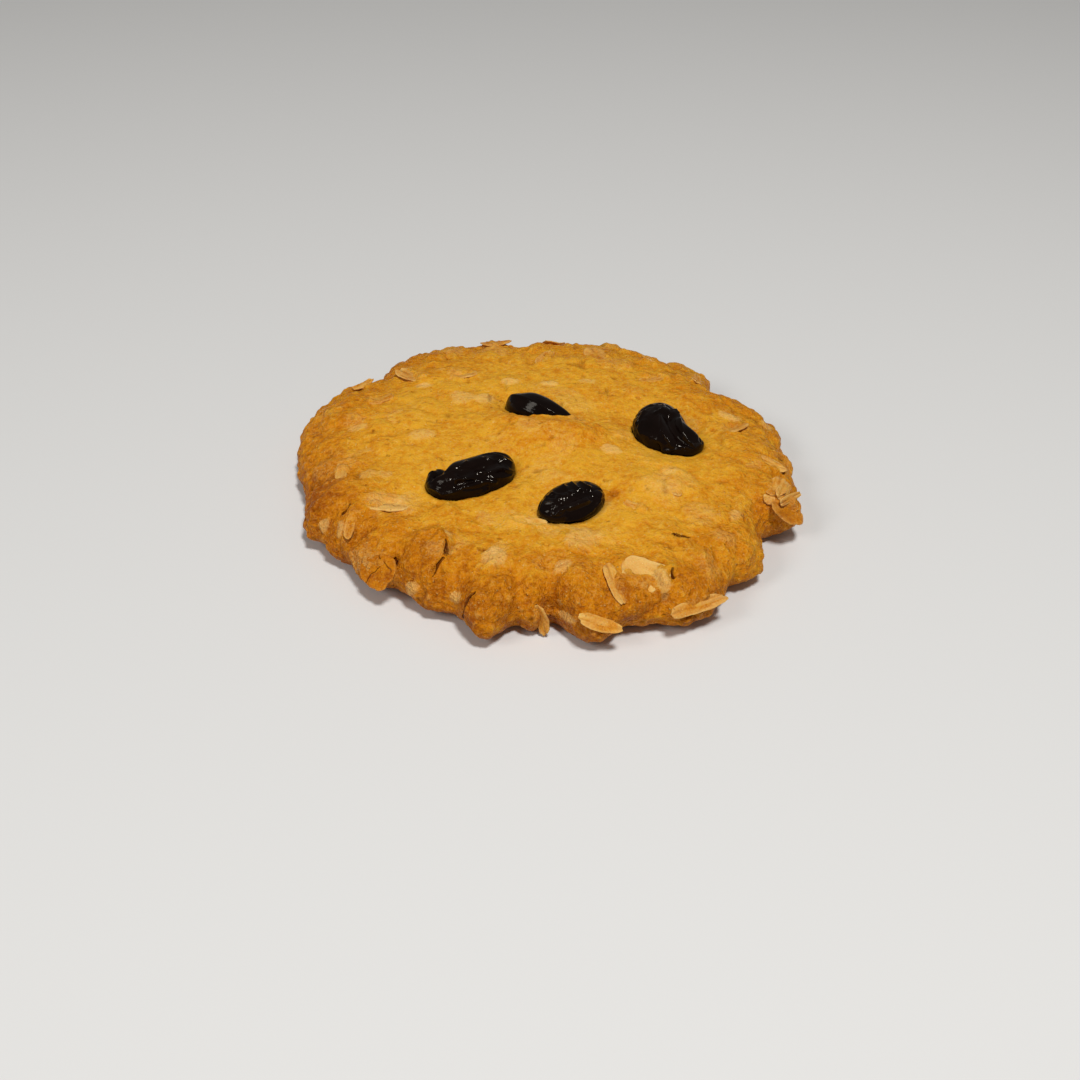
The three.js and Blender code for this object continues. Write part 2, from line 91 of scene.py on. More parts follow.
# The four raisins, as in the solid: their ovals, and valleys of the skin from and to (share along, degrees
# round) with depth and width. Then what the fine surface adds: wrinkles of a depth, length and width, the
# start of the noise, how far the dough stands up round the fruit, and folds of the skin, each a crest or
# groove through (share along, degrees round) places with its height and width
raisins = [
    {"name": "raisin_left", "x": -11, "y": -10.4, "turn": 28, "long": 15.2, "wide": 7.4, "thick": 6.4,
     "sink": 0, "taper": 0, "bend": 0.9, "blunt": 3.4, "collar": 0.3,
     "wrinkle": 0.16, "wrinkleSize": (3.4, 1.5), "seed": 3.1,
     "valleys": [[-0.3, 20, -0.75, 80, 2.2, 0.8], [-0.3, 112, 0.55, 108, 0.7, 1.1],
                 [-0.5, 145, 0.1, 146, 0.4, 0.6]],
     "folds": [
        ([(-0.97, 150), (-0.83, 176), (-0.59, 164), (-0.4, 156), (0.09, 156), (0.3, 168)], 0.5, 0.4),
        ([(-0.51, 130), (-0.34, 132), (-0.13, 138), (0.03, 152)], 0.4, 0.35),
        ([(0.05, 142), (0.28, 152), (0.5, 162), (0.75, 170)], 0.35, 0.35),
        ([(0, 124), (0.22, 134), (0.54, 136), (0.84, 166)], 0.45, 0.4),
        ([(-0.86, 40), (-0.71, 60), (-0.62, 96), (-0.66, 130)], 0.3, 0.35),
        ([(0.3, 84), (0.45, 100), (0.7, 104), (0.86, 130)], 0.35, 0.35),
        ([(-0.3, 92), (-0.1, 80)], 0.3, 0.3), ([(-0.2, 190), (0.1, 184), (0.5, 188)], 0.3, 0.4),
     ]},
    {"name": "raisin_front", "x": 4.6, "y": -17.4, "turn": 33, "long": 11.5, "wide": 7.9, "thick": 5.4,
     "sink": -0.3, "taper": 0.1, "bend": 0, "blunt": 1.8, "collar": 0.2,
     "wrinkle": 0.14, "wrinkleSize": (2.6, 1.4), "seed": 8.6,
     "valleys": [[-0.6, 116, 0.3, 114, 0.5, 0.7], [-0.35, 160, 0.35, 154, 0.4, 0.9],
                 [-0.5, 70, -0.1, 86, 0.4, 0.7]],
     "folds": [
        ([(-0.77, 160), (-0.66, 142), (-0.45, 140), (-0.19, 140), (0, 137), (0.2, 139)], 0.45, 0.35),
        ([(-0.5, 190), (-0.19, 188), (0.09, 177), (0.37, 169), (0.56, 160), (0.75, 136)], 0.4, 0.35),
        ([(-0.6, 56), (-0.43, 60), (-0.35, 88)], 0.35, 0.3),
        ([(-0.03, 58), (-0.1, 92), (-0.02, 106)], 0.35, 0.3),
        ([(0.22, 60), (0.16, 90), (0.31, 112)], 0.35, 0.3), ([(-0.22, 100), (-0.3, 122)], 0.35, 0.3),
        ([(-0.8, 84), (-0.66, 100), (-0.6, 122)], 0.35, 0.3),
        ([(0.4, 72), (0.52, 104)], 0.3, 0.3),
     ]},
    {"name": "raisin_back", "x": -0.6, "y": 9.1, "turn": -27, "long": 12.6, "wide": 6.1, "thick": 6.4,
     "sink": 0.9, "taper": -0.27, "bend": 0.6, "blunt": 1.8, "collar": 0.3,
     "wrinkle": 0.03, "wrinkleSize": (5, 1.6), "seed": 5.2,
     "valleys": [[-0.9, 40, -0.6, 70, 0.3, 1.4]],
     "folds": [
        ([(-0.8, 104), (-0.4, 110), (0.3, 120), (0.8, 134)], 0.4, 0.9),
        ([(-0.7, 136), (-0.2, 146), (0.3, 158)], 0.15, 0.6),
     ]},
    {"name": "raisin_right", "x": 20.9, "y": 3.4, "turn": -55, "long": 13.8, "wide": 9.3, "thick": 7.2,
     "sink": -0.3, "taper": -0.1, "bend": 1.1, "blunt": 3, "collar": 0,
     "wrinkle": 0.14, "wrinkleSize": (3, 1.6), "seed": 1.7,
     "valleys": [[0.1, -4, 0.5, 29, 2.4, 2], [0, 86, 0.8, 130, 1.1, 0.9],
                 [0.35, 175, 0.45, 205, 0.7, 0.8]],
     "folds": [
        ([(-0.2, 52), (0, 56), (0.31, 78), (0.54, 94), (0.66, 103), (0.93, 116)], 0.5, 0.4),
        ([(-0.1, 100), (0.06, 112), (0.22, 124), (0.43, 136), (0.61, 145), (0.71, 158)], 0.55, 0.4),
        ([(0.97, 40), (0.93, 100), (0.88, 152)], 0.35, 0.35),
        ([(0.5, 184), (0.68, 174), (0.8, 164)], 0.35, 0.4),
        ([(-0.6, 118), (-0.5, 140), (-0.52, 156)], 0.3, 0.3),
        ([(-0.38, 140), (-0.34, 160), (-0.2, 166)], 0.3, 0.3), ([(-0.3, 178), (-0.12, 186)], 0.3, 0.3),
        ([(-0.5, 70), (-0.3, 84), (-0.28, 104)], 0.35, 0.35),
        ([(-0.7, 96), (-0.56, 84)], 0.3, 0.3),
     ]},
]
raisinMesh = {
    "rings": 14,  # these three as in the solid
    "segments": 18,
    "valleyWidth": 1.1,
    "fineRings": 160,
    "fineSegments": 130,
    "clear": 0.12,  # between a raisin's underside and its hollow
}

# Rolled oats that show: x, y, length, width, turn, tilt, lift of the middle over the crust, and paleness
shownOats = [
    [-24.1, -17.2, 7, 3, -3, -12, -0.15, 0.7], [-24, -28.9, 6.2, 5.6, -38, -10, 0.15, -0.7],
    [-1.9, -21.4, 6, 2.2, -8, 8, -0.1, 0.6], [15, -33, 7.4, 5.4, -14, 16, -0.4, 0.7],
    [10.6, -34.9, 7.2, 2.2, -71, -14, -0.15, 0.35], [22.8, -36.2, 9.8, 2.2, 29, -12, -0.05, 0.4],
    [8.5, -41, 6.4, 2.2, -10, -12, 0, 0.35], [37.4, -9.9, 5.2, 3.2, 72, -20, -0.1, 0.35],
    [39, -11.6, 6.4, 1.3, 49, 30, 0.15, 0.5], [38.1, -10.6, 5, 2.4, 64, 24, -0.05, 0.4],
    [35.9, -12.8, 2.4, 1.7, 0, 14, 0, 0.5], [38.6, -13.6, 6.4, 5.2, 40, -10, 0.3, 0],
    [37.5, -2.9, 4.8, 2.4, -20, 10, -0.15, 0.45], [19.9, -8.9, 4.6, 2, 16, -12, -0.15, 0.45],
    [20.9, -13.1, 3.6, 1.8, 102, 10, -0.15, 0.5], [14.5, -17.3, 4, 1.6, -34, 10, -0.15, 0.4],
    [32.4, 6.6, 5.4, 3, 34, -26, -0.05, 0.3], [-13.7, 21.2, 5, 2.4, 26, -16, -0.15, 0.45],
    [-27.9, 13.4, 4.8, 3, 36, -12, -0.15, 0.25], [-32, -8.6, 5.2, 2, 96, -14, -0.15, 0.4],
    [0.2, 28.6, 5.6, 2, 61, 18, -0.1, 0.35], [-8.8, 35.4, 6, 3.2, 12, -8, -0.05, 0.2],
    [27.4, 24.2, 4.4, 2, 82, 16, -0.05, 0.35], [0.4, -37.6, 5.6, 2, 104, -24, 0, 0.3],
    [-29.2, -20.8, 6, 1.6, 82, 24, 0, 0.2],
]
oats = {
    "scattered": 60,
    "length": (3.6, 6.4),
    "widthShare": (0.45, 0.75),
    "thickness": 0.5,
    "behind": 20.0,  # scattered ones lie past this y, where the picture shows none in particular
    "clear": 3.0,  # no scattered oat nearer than this to a raisin's edge
    "apart": 6.0,
    "cup": 0.3,
    "blunt": 2.7,  # 2 is an ellipse, more has fuller ends
    "ragged": [(2.6, 0.10, 0.5), (6, 0.06, 1.5)],  # of the outline: waves round, height, start of the noise
    "relief": [(2.1, 2.6, 0.16, 0.5), (6.0, 7.0, 0.09, 4.5)],  # waves along and across, height, start
    "bump": 0.6,
    "rings": 26,
    "around": 56,
}

# Flakes wholly under the crust, which only lift it; some show paler through it
buriedFlakes = {"count": 230, "length": (3.6, 7.6), "lift": (0.06, 0.34), "tilt": 10.0, "soft": 0.6}

# Lumps and flakes under the skin that stand out of it, crisp on one side: x, y, length, width, turn, lift,
# extra brown, extra pale
plates = [
    [-17.4, -28.4, 9.6, 7.4, 258, 0.8, 0.1, 0], [13.8, -36, 7, 6.6, -30, 0.9, 0.16, 0],
    [5.6, -36.6, 9, 6, 84, 0.5, 0.08, 0], [-7.7, -38.4, 11, 9, 190, 0.5, 0.05, 0],
    [22.6, -34.4, 9, 6, 34, 0.4, 0.06, 0], [20.5, -11.2, 9.6, 6.2, 14, 0.35, 0, 0.2],
    [1.5, 1.6, 17, 9.4, 4, 0.8, 0.08, 0], [-33.8, -13, 8, 6, 80, 0.5, 0.15, 0],
    [-30.4, -25.4, 6.4, 5, 50, 0.5, 0.05, 0], [33.6, 3, 8, 7, 60, 0.4, 0.03, 0],
    [30, -24, 9, 6, 50, 0.35, 0, 0], [-24, -21.6, 8, 6, 20, 0.3, 0.03, 0],
    [34, 17, 8, 6, 120, 0.4, 0.05, 0], [-30, 24, 10, 6, 140, 0.4, 0.08, 0],
    [16, 36, 10, 6, 160, 0.4, 0.05, 0], [-15.1, -26.2, 4.6, 3.4, 70, 0.15, 0, 0.6],
    [12.9, -35.5, 2.4, 2.2, 80, 0.15, 0, 0.4], [15.2, -35.6, 2.2, 1.2, -30, 0.3, 0, 0.7],
    [-24.3, -15.7, 6.4, 3.2, -2, 0.15, 0, 0.3], [6.3, -25.4, 5.8, 5.4, 70, 0.2, 0, 0.4],
    [-6.9, -30, 3.8, 3.6, 20, 0.22, 0, 0.55], [17.4, -34, 5, 2.6, -60, 0.35, 0, 0.5],
    [3.4, -32, 2.8, 2.6, 40, 0.15, 0, 0.4], [3.4, -35.6, 4, 2.2, 88, 0.2, 0, 0.35],
    [-13.8, 13.6, 4.6, 4, 20, 0.12, 0, 0.4], [-9.9, 13.2, 4, 3.6, 70, 0.12, 0, 0.5],
    [-19.7, 1.4, 4.2, 3.6, 20, 0.12, 0, 0.4], [-5.8, 19.1, 3.4, 2, 20, 0.15, 0, 0.55],
    [1, 18.8, 3.4, 2, -10, 0.15, 0, 0.55], [7.8, 19.7, 3, 1.8, -10, 0.12, 0, 0.4],
    [11.3, -2.3, 3.6, 2.6, -30, 0.12, 0, 0.55], [-30.8, 4.3, 3.4, 2.2, 10, 0.15, 0, 0.45],
    [24.7, -32.2, 3.2, 1.9, -14, 0.2, 0, 0.5], [30.1, -17.7, 3, 1.8, 70, 0.15, 0, 0.4],
    [38.8, 11.5, 3.2, 2.2, 100, 0.2, 0, 0.4], [-20.7, 18, 3.2, 1.8, 0, 0.15, 0, 0.6],
    [32, 10.4, 4, 2.4, 150, 0.2, 0, 0.55], [-19.1, -32.4, 3, 2.4, 40, 0.3, 0, 0.5],
    [-27.5, -9.5, 3, 2.4, 0, 0.12, 0, 0.3], [-25, -9.6, 2.6, 2, 0, 0.12, 0, 0.35],
    [-33.8, -18.4, 2.4, 2, 60, 0.25, 0, 0.5], [-12.2, -35.5, 2.4, 1.8, 0, 0.2, 0, 0.5],
    [4, -38.1, 2.2, 1.6, 0, 0.2, 0, 0.5], [-18.7, -26.7, 1.8, 1.4, 70, 0.1, 0, 0.35],
    [-30.9, -20.8, 2.6, 1.4, 70, 0.2, 0, 0.5],
]

# Cracks: x, y, length, turn, width, depth
cracks = [
    [11.5, 15.8, 4.6, -10, 0.22, 0.6], [-22.3, 8.8, 2.2, -8, 0.22, 0.5], [-31.9, 1.4, 4.4, -18, 0.24, 0.6],
    [-14, -28.4, 3.4, 84, 0.28, 0.9], [-15.2, -31.6, 2.8, 52, 0.28, 0.8],
    [-10.2, -37.8, 2.8, 26, 0.28, 0.8], [21.1, -24.3, 2.8, 4, 0.3, 0.9], [24.8, -22.7, 4.4, 14, 0.16, 0.3],
    [30.1, -2.9, 3.2, -12, 0.26, 0.7], [-0.9, -34.8, 4, 88, 0.18, 0.4],
    [-24.5, -27.8, 4.2, -12, 0.24, 0.7], [-19.6, -22.2, 2.8, -8, 0.2, 0.35],
    [-17.2, -22.4, 4.6, 24, 0.18, 0.3], [17.2, -26, 3, -30, 0.16, 0.3], [26.2, -17, 3.4, 4, 0.16, 0.3],
    [14.6, 0, 5.2, -32, 0.2, 0.35], [-8.2, 14.4, 2.2, 70, 0.22, 0.4],
]

# Holes and pits, darkened with painted shade: x, y, length, width, turn, depth
holes = [
    [-21.9, -28.5, 1.7, 1.1, 60, 1.3], [-30.4, -17.8, 2.2, 0.9, 60, 1.1], [19.4, -33.2, 1.2, 0.9, 80, 1.2],
    [18.3, -35.9, 1, 0.6, 40, 0.9], [11.3, -14.2, 1.7, 0.8, -8, 0.5], [33.4, 5.4, 1.4, 0.8, 30, 0.7],
    [-4.1, -38.8, 0.8, 0.5, 30, 0.6], [21.9, -37.6, 3.4, 0.6, 30, 0.8], [-17.5, -34.3, 1.6, 1.1, 30, 0.8],
    [14.4, -17.9, 0.7, 0.4, 0, 0.3], [24.6, -26, 0.5, 0.4, 0, 0.3], [-25.9, -27.3, 0.7, 0.5, 0, 0.5],
]

# Creases of the oats that show them, drawn as thin lines of painted shade: x, y, length, turn, width
oatCreases = [
    [-24, -27.9, 2.4, 84, 0.16], [-25.2, -29.8, 2.8, 30, 0.14], [-22.9, -29.9, 2.2, -50, 0.12],
    [-24, -17, 4.6, -2, 0.07],
]

# Browner places of the bake: x, y, radius, amount
brownSpots = [
    [-37, -10, 7, 0.3], [-30, -24, 7, 0.15], [-12, -36, 6, 0.12], [8, -41, 5, 0.15], [24, -34, 5, 0.08],
    [38, -14, 4, 0.2], [11.3, -14.1, 1.3, 0.7], [-26, 30, 7, 0.1], [-10, 40, 5, 0.1], [13, 16, 4, 0.1],
    [36, 14, 6, 0.06], [2, 2, 9, 0.18], [-17, -28, 5, 0.1], [14, -37, 4, -0.06], [2, -36, 4, 0.1],
    [-31, 10, 4, 0.1],
]

# Rounded crumbs of the dough, large and small, and a rough grain: size, height in the middle and at the rim
grain = {
    "crumbs": (2.3, 0.06, 0.55),
    "grains": (1.2, 0.05, 0.34),
    "rough": (0.8, 0.06, 0.10),
    "reach": 0.7,  # of a crumb, as a share of its size
    "drawnIn": 0.3,  # the rim stays in its outline under them
}


def lattice(i, j, k):
    # a fixed number from -1 to 1 at each whole-number corner: what is left of a large sine
    wave = np.sin(i * 127.1 + j * 311.7 + k * 74.7) * 43758.5453
    return (wave - np.floor(wave)) * 2 - 1


def chance(n):
    return lattice(n, 5, 9) * 0.5 + 0.5


def ease(t):
    return t * t * (3 - 2 * t)


def rise(low, high, value):
    # 0 below low, 1 above high, and an eased step between them
    return ease(np.clip((value - low) / (high - low), 0, 1))


def blendTo(a, b, t):
    return a + (b - a) * t


def noise(x, y, z):
    # smooth noise from -1 to 1: the eight lattice corners round a point, blended by eased shares
    i, j, k = np.floor(x), np.floor(y), np.floor(z)
    u, v, w = ease(x - i), ease(y - j), ease(z - k)

    def alongX(b, c):
        return blendTo(lattice(i, j + b, k + c), lattice(i + 1, j + b, k + c), u)

    return blendTo(blendTo(alongX(0, 0), alongX(1, 0), v), blendTo(alongX(0, 1), alongX(1, 1), v), w)


def noiseAt(points, wave, seed):
    # noise of one wavelength in millimetres, at points that are rows of x, y, z
    x, y, z = np.moveaxis(points, -1, 0) / wave
    return noise(x + seed, y + 2.7 * seed, z + 1.3 * seed)


def crumbsAt(points, size, seed):
    # rounded crumbs, one stray point per cell: the sum of height * (1 - (distance / reach)^2)^2
    at = points / size + seed
    corner = np.floor(at)
    total = np.zeros(len(points))
    for n in range(27):
        cell = corner + np.array([n % 3, n // 3 % 3, n // 9]) - 1
        i, j, k = cell.T
        stray = np.stack([lattice(i, j, k), lattice(i + 31, j, k), lattice(i, j + 47, k)], 1) * 0.4 + 0.5
        share = np.clip(1 - ((cell + stray - at) ** 2).sum(1) / grain["reach"] ** 2, 0, 1)
        total = total + (0.55 + 0.45 * lattice(i, j + 13, k + 59)) * share ** 2
    return total


def rimRadius(angle):
    # radius of the lip: an eased step from each crown or notch to the next
    table = np.array(crust["rim"] + [[360, crust["rim"][0][1]]])
    turn = np.mod(angle / degrees, 360)
    after = np.clip(np.searchsorted(table[:, 0], turn, side="right"), 1, len(table) - 1)
    start, end = table[after - 1], table[after]
    t = (turn - start[..., 0]) / (end[..., 0] - start[..., 0])
    return blendTo(start[..., 1], end[..., 1], ease(t))


def plainRimRadius(angle):
    # the lip's radius with its small crowns and notches averaged out
    steps = [-1, -0.5, 0, 0.5, 1]
    return sum(rimRadius(angle + s * crust["rimSmoothing"] * degrees) for s in steps) / len(steps)


def turnedBy(turn, dx, dy):
    # dx, dy as they lie along and across something that is turned by so many degrees
    c, s = math.cos(turn * degrees), math.sin(turn * degrees)
    return dx * c + dy * s, dy * c - dx * s


def raisinShare(raisin, x, y):
    # how far x, y is from a raisin's middle, as a share of its oval outline
    along, across = turnedBy(raisin["turn"], x - raisin["x"], y - raisin["y"])
    return np.hypot(along / (raisin["long"] / 2), across / (raisin["wide"] / 2))


def relief(x, y, z, share):
    # hills and dips as bell curves, lumps as two sizes of noise, and a bell-shaped hollow round each raisin
    height = sum(h * np.exp(-((x - mx) ** 2 + (y - my) ** 2) / r ** 2) for mx, my, r, h in crust["mounds"])
    edge = np.clip((share - 0.45) / 0.4, 0, 1)
    for wave, middle, rim in crust["lumps"]:
        lump = noise(x / wave + 11.3, y / wave + 4.7, z / wave + 2.1)
        height = height + blendTo(middle * lump, rim * (2 * np.abs(lump) - 0.55), edge)
    for raisin in raisins:
        height = height - np.exp(-raisinShare(raisin, x, y) ** 4 / 4)
    return height


def section(share, angle):
    # the plain round: a dome on the flat, a superellipse shoulder down to the lip, another in to the foot
    lip = rimRadius(angle)
    flat = plainRimRadius(angle) - crust["shoulderWidth"]
    start = crust["shoulderStart"]
    climb = np.clip((1 - share) / (1 - start), 0, 1) * math.pi / 2
    drop = np.clip(share - 1, 0, 1) * math.pi / 2
    c, s = np.clip(np.cos(climb), 0, 1), np.sin(climb)
    shoulder = flat + (lip - flat) * c ** (2 / crust["shoulderPower"])
    radius = np.where(share < start, flat * share / start, shoulder)
    dome = crust["domeRise"] * (1 - (radius / lip) ** 2)
    height = crust["lipHeight"] + (crust["shoulderRise"] + dome) * s ** (2 / crust["shoulderPower"])
    out, up = c / crust["shoulderWidth"], s / crust["shoulderRise"]
    foot = plainRimRadius(angle) - crust["footInset"]
    cd, sd = np.clip(np.cos(drop), 0, 1), np.sin(drop)
    below = share > 1
    radius = np.where(below, foot + (lip - foot) * cd ** (2 / crust["footPower"]), radius)
    height = np.where(below, crust["lipHeight"] * (1 - sd ** (2 / crust["footPower"])), height)
    out = np.where(below, cd / crust["footInset"], np.where(share < start, 0, out))
    up = np.where(below, -sd / crust["lipHeight"], np.where(share < start, 1, up))
    size = np.hypot(out, up)
    return radius, height, out / size, up / size


def crustPoint(angle, share):
    # the plain round pushed out along its own direction by the relief, never below the table
    radius, height, out, up = section(share, angle)
    point = np.stack([radius * np.cos(angle), radius * np.sin(angle), height], -1)
    facing = np.stack([out * np.cos(angle), out * np.sin(angle), up], -1)
    kept = np.clip(2 - share, 0, 1)
    point = point + facing * (relief(*np.moveaxis(point, -1, 0), share) * kept)[..., None]
    point[..., 2] = np.maximum(point[..., 2], 0)
    return point, facing


def shareAt(radius, angle):
    # the share of the section whose plain radius is the given one
    flat = plainRimRadius(angle) - crust["shoulderWidth"]
    start = crust["shoulderStart"]
    c = np.clip((radius - flat) / (rimRadius(angle) - flat), 0, 1) ** (crust["shoulderPower"] / 2)
    return np.where(radius <= flat, start * radius / flat, 1 - np.arccos(c) / (math.pi / 2) * (1 - start))


def squareToDisc(a, b):
    # a square bent into a disc: its sides become the rim, and the angle runs evenly along each side
    share = np.maximum(np.abs(a), np.abs(b))
    with np.errstate(divide="ignore", invalid="ignore"):
        beside = math.pi / 4 * (b / a) + np.where(a < 0, math.pi, 0)
        above = math.pi / 2 - math.pi / 4 * (a / b) + np.where(b < 0, math.pi, 0)
    return share, np.where(share > 0, np.where(np.abs(a) > np.abs(b), beside, above), 0)


def layFlakes(rows):
    # each flake's middle and its own three directions: the crust's facing, a turn about it, and a tilt
    # about the flake's length
    x, y, long, wide, turn, tilt, lift = np.array(rows, float).T[:7]
    angle = np.arctan2(y, x)
    point, facing = crustPoint(angle, shareAt(np.hypot(x, y), angle))
    fx, fy, fz = facing.T
    east = np.stack([1 - fx * fx / (1 + fz), -fx * fy / (1 + fz), -fx], -1)
    north = np.stack([-fx * fy / (1 + fz), 1 - fy * fy / (1 + fz), -fy], -1)
    c, s = np.cos(turn * degrees)[:, None], np.sin(turn * degrees)[:, None]
    length, side = east * c + north * s, north * c - east * s
    ct, st = np.cos(tilt * degrees)[:, None], np.sin(tilt * degrees)[:, None]
    middle = point + facing * lift[:, None]
    return middle, length, side * ct + facing * st, facing * ct - side * st, long, wide


def spreadOats():
    # the listed oats, then a sunflower spread that keeps clear of them and of the raisins
    laid = [list(row) for row in shownOats]
    for n in range(oats["scattered"]):
        angle = (n * goldenTurn + 40 * chance(n)) * degrees
        radius = rimRadius(angle) * 0.985 * math.sqrt((n + 0.5) / oats["scattered"])
        x, y = radius * math.cos(angle), radius * math.sin(angle)
        nearRaisin = any(raisinShare(r, x, y) < 1 + oats["clear"] / (r["wide"] / 2) for r in raisins)
        nearOat = any(math.hypot(row[0] - x, row[1] - y) < oats["apart"] for row in laid)
        if nearRaisin or nearOat or y < oats["behind"]:
            continue
        long = blendTo(*oats["length"], chance(n + 100))
        wide = long * blendTo(*oats["widthShare"], chance(n + 200))
        outer = rise(0.75, 1.0, radius / rimRadius(angle))
        tilt = (20 + 30 * outer) * (chance(n + 400) - 0.3)
        lift = blendTo(-0.1, 0.25, outer) * chance(n + 500)
        laid.append([x, y, long, wide, 360 * chance(n + 300), tilt, lift, 0.1 + 0.35 * chance(n + 600)])
    return laid


def spreadBuried():
    # a second sunflower spread of flakes that only lift the crust over them
    n = np.arange(buriedFlakes["count"])
    angle = n * goldenTurn * degrees + chance(n + 900)
    radius = rimRadius(angle) * 0.98 * np.sqrt((n + 0.5) / buriedFlakes["count"])
    long = blendTo(*buriedFlakes["length"], chance(n + 1100))
    wide = long * blendTo(0.6, 0.9, chance(n + 1200))
    tilt = buriedFlakes["tilt"] * (chance(n + 1400) * 2 - 1)
    x, y = radius * np.cos(angle), radius * np.sin(angle)
    return np.stack([x, y, long, wide, 360 * chance(n + 1300), tilt, 0 * n], 1)


def raisinSeat(raisin):
    # height of a raisin's middle: the crust's own height there, less its sink
    angle = np.arctan2(raisin["y"], raisin["x"])
    point, _ = crustPoint(angle, shareAt(np.hypot(raisin["x"], raisin["y"]), angle))
    return point[2] + 1.0 - raisin["sink"]


def raisinGirth(raisin, along):
    return np.sqrt(np.clip(1 - np.abs(along) ** raisin["blunt"], 0, 1)) * (1 + raisin["taper"] * along)


def awayFromRun(raisin, along, angle, start, end):
    # distance over a raisin's skin, in millimetres, from the straight run between two of its places
    halfLong, girth = raisin["long"] / 2, (raisin["wide"] + raisin["thick"]) / 4
    runX, runY = (end[0] - start[0]) * halfLong, (end[1] - start[1]) * degrees * girth
    x = (along - start[0]) * halfLong
    y = (np.mod(angle - start[1] * degrees + math.pi, 2 * math.pi) - math.pi) * girth
    t = np.clip((x * runX + y * runY) / (runX ** 2 + runY ** 2), 0, 1)
    return np.hypot(x - t * runX, y - t * runY)


def valleyDepth(raisin, along, angle, narrowest=0.0):
    # valleys of the skin: the sum of depth * exp(-(away / width)^2)
    depth = 0 * along * angle
    for valley in raisin["valleys"]:
        away = awayFromRun(raisin, along, angle, valley[0:2], valley[2:4])
        depth = depth + valley[4] * np.exp(-(away / max(valley[5], narrowest)) ** 2)
    return depth


def foldHeight(raisin, along, angle):
    # height * exp(-away / width) from the nearest run of each fold, less a third of a broader bell
    total = 0 * along * angle
    for places, high, width in raisin["folds"]:
        away = total + 99
        for start, end in zip(places, places[1:]):
            away = np.minimum(away, awayFromRun(raisin, along, angle, start, end))
        total = total + high * (np.exp(-away / width) - 0.35 * np.exp(-(away / (3 * width)) ** 2))
    return total


def raisinSurface(raisin, rings, segments, fine):
    # rings along a bent spine, whose girth closes at both ends, less the valleys; the fine surface also
    # has the folds, and a wrinkle wherever a stretched, bent noise passes through nought
    along = -np.cos(np.linspace(0, math.pi, rings + 1))[:, None]
    angle = np.linspace(0, 2 * math.pi, segments, endpoint=False)[None, :]
    halfLong, halfWide, halfThick = raisin["long"] / 2, raisin["wide"] / 2, raisin["thick"] / 2
    girth = raisinGirth(raisin, along)
    depth = valleyDepth(raisin, along, angle, 0.0 if fine else raisinMesh["valleyWidth"])
    x = halfLong * along + 0 * angle
    y = raisin["bend"] * (along * along - 0.4) + (halfWide - depth) * girth * np.cos(angle)
    z = (halfThick - depth) * girth * np.sin(angle)
    if fine:
        at = np.stack([x, y, z], -1)
        seed = raisin["seed"]
        sway = 0.9 * noiseAt(at, 3.2, seed + 4)
        long, wide = raisin["wrinkleSize"]
        u, v, w = x / long, (y + sway) / wide, (z - sway) / wide
        crease = np.abs(noise(u + seed, v + 7.7, w + 3.9))
        small = np.abs(noise(2.3 * u + 5.5, 2.1 * v + seed, 2.1 * w + 1.9))
        where = rise(-0.5, 0.5, noiseAt(at, 4.0, seed + 9))
        wrinkles = np.exp(-(crease / 0.16) ** 2) + 0.4 * where * np.exp(-(small / 0.2) ** 2)
        depth = raisin["wrinkle"] * wrinkles - foldHeight(raisin, along, angle)
        out = [along / halfLong, np.cos(angle) / halfWide, np.sin(angle) / halfThick]
        out = np.stack(np.broadcast_arrays(*out), -1)
        out = out / np.linalg.norm(out, axis=-1, keepdims=True)
        x, y, z = np.moveaxis(at - out * (depth * np.clip(2.5 * girth, 0, 1))[..., None], -1, 0)
    x, y = turnedBy(-raisin["turn"], x, y)
    return np.stack([raisin["x"] + x, raisin["y"] + y, raisinSeat(raisin) + z], -1)


def placeFromFrame():
    # the solid stands with its box over the origin: how far that moved it, from where the four raisins lie
    moves = []
    for raisin in raisins:
        own = raisinSurface(raisin, raisinMesh["rings"], raisinMesh["segments"], False).reshape(-1, 3)
        low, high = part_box(raisin["name"])
        moves.append(np.array((low + high) / 2) / mm - (own.min(0) + own.max(0)) / 2)
    print("the solid is moved by", np.round(np.mean(moves, 0), 3), "spread", np.round(np.ptp(moves, 0), 4))
    return np.mean(moves, 0)


place = placeFromFrame()


def makePiece(name, points, faces, material, node):
    # one mesh in metres, its object at the origin, riding on the cookie's one body
    mesh = bpy.data.meshes.new(name)
    mesh.from_pydata(((points + place) * mm).tolist(), [], faces)
    mesh.shade_smooth()
    mesh.materials.append(material)
    piece = bpy.data.objects.new(name, mesh)
    bpy.context.scene.collection.objects.link(piece)
    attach(piece, "root")
    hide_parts(node)
    print(name, len(mesh.vertices), "vertices")
    return piece


def paint(piece, layer, values):
    # four numbers from 0 to 1 for each vertex, in a colour attribute
    colours = np.clip(values, 0, 1).astype(np.float32)
    piece.data.attributes.new(layer, "FLOAT_COLOR", "POINT").data.foreach_set("color", colours.ravel())


def closeEnds(grid):
    # of each piece's rings, the first and the last become a single point
    inner = grid[:, 1:-1].reshape(len(grid), -1, grid.shape[-1])
    return np.concatenate([grid[:, 0, :1], inner, grid[:, -1, :1]], 1)


def poleFaces(rings, around):
    # faces of a closed surface that runs from one pole through rings to the other pole
    m = np.arange(around)
    after = (m + 1) % around
    n = np.arange(rings - 1)[:, None] * around + 1
    quads = np.stack([n + m, n + after, n + around + after, n + around + m], -1).reshape(-1, 4)
    last = rings * around + 1
    first = np.stack([0 * m, after + 1, m + 1], -1)
    end = np.stack([0 * m + last, last - around + m, last - around + after], -1)
    return quads, first, end
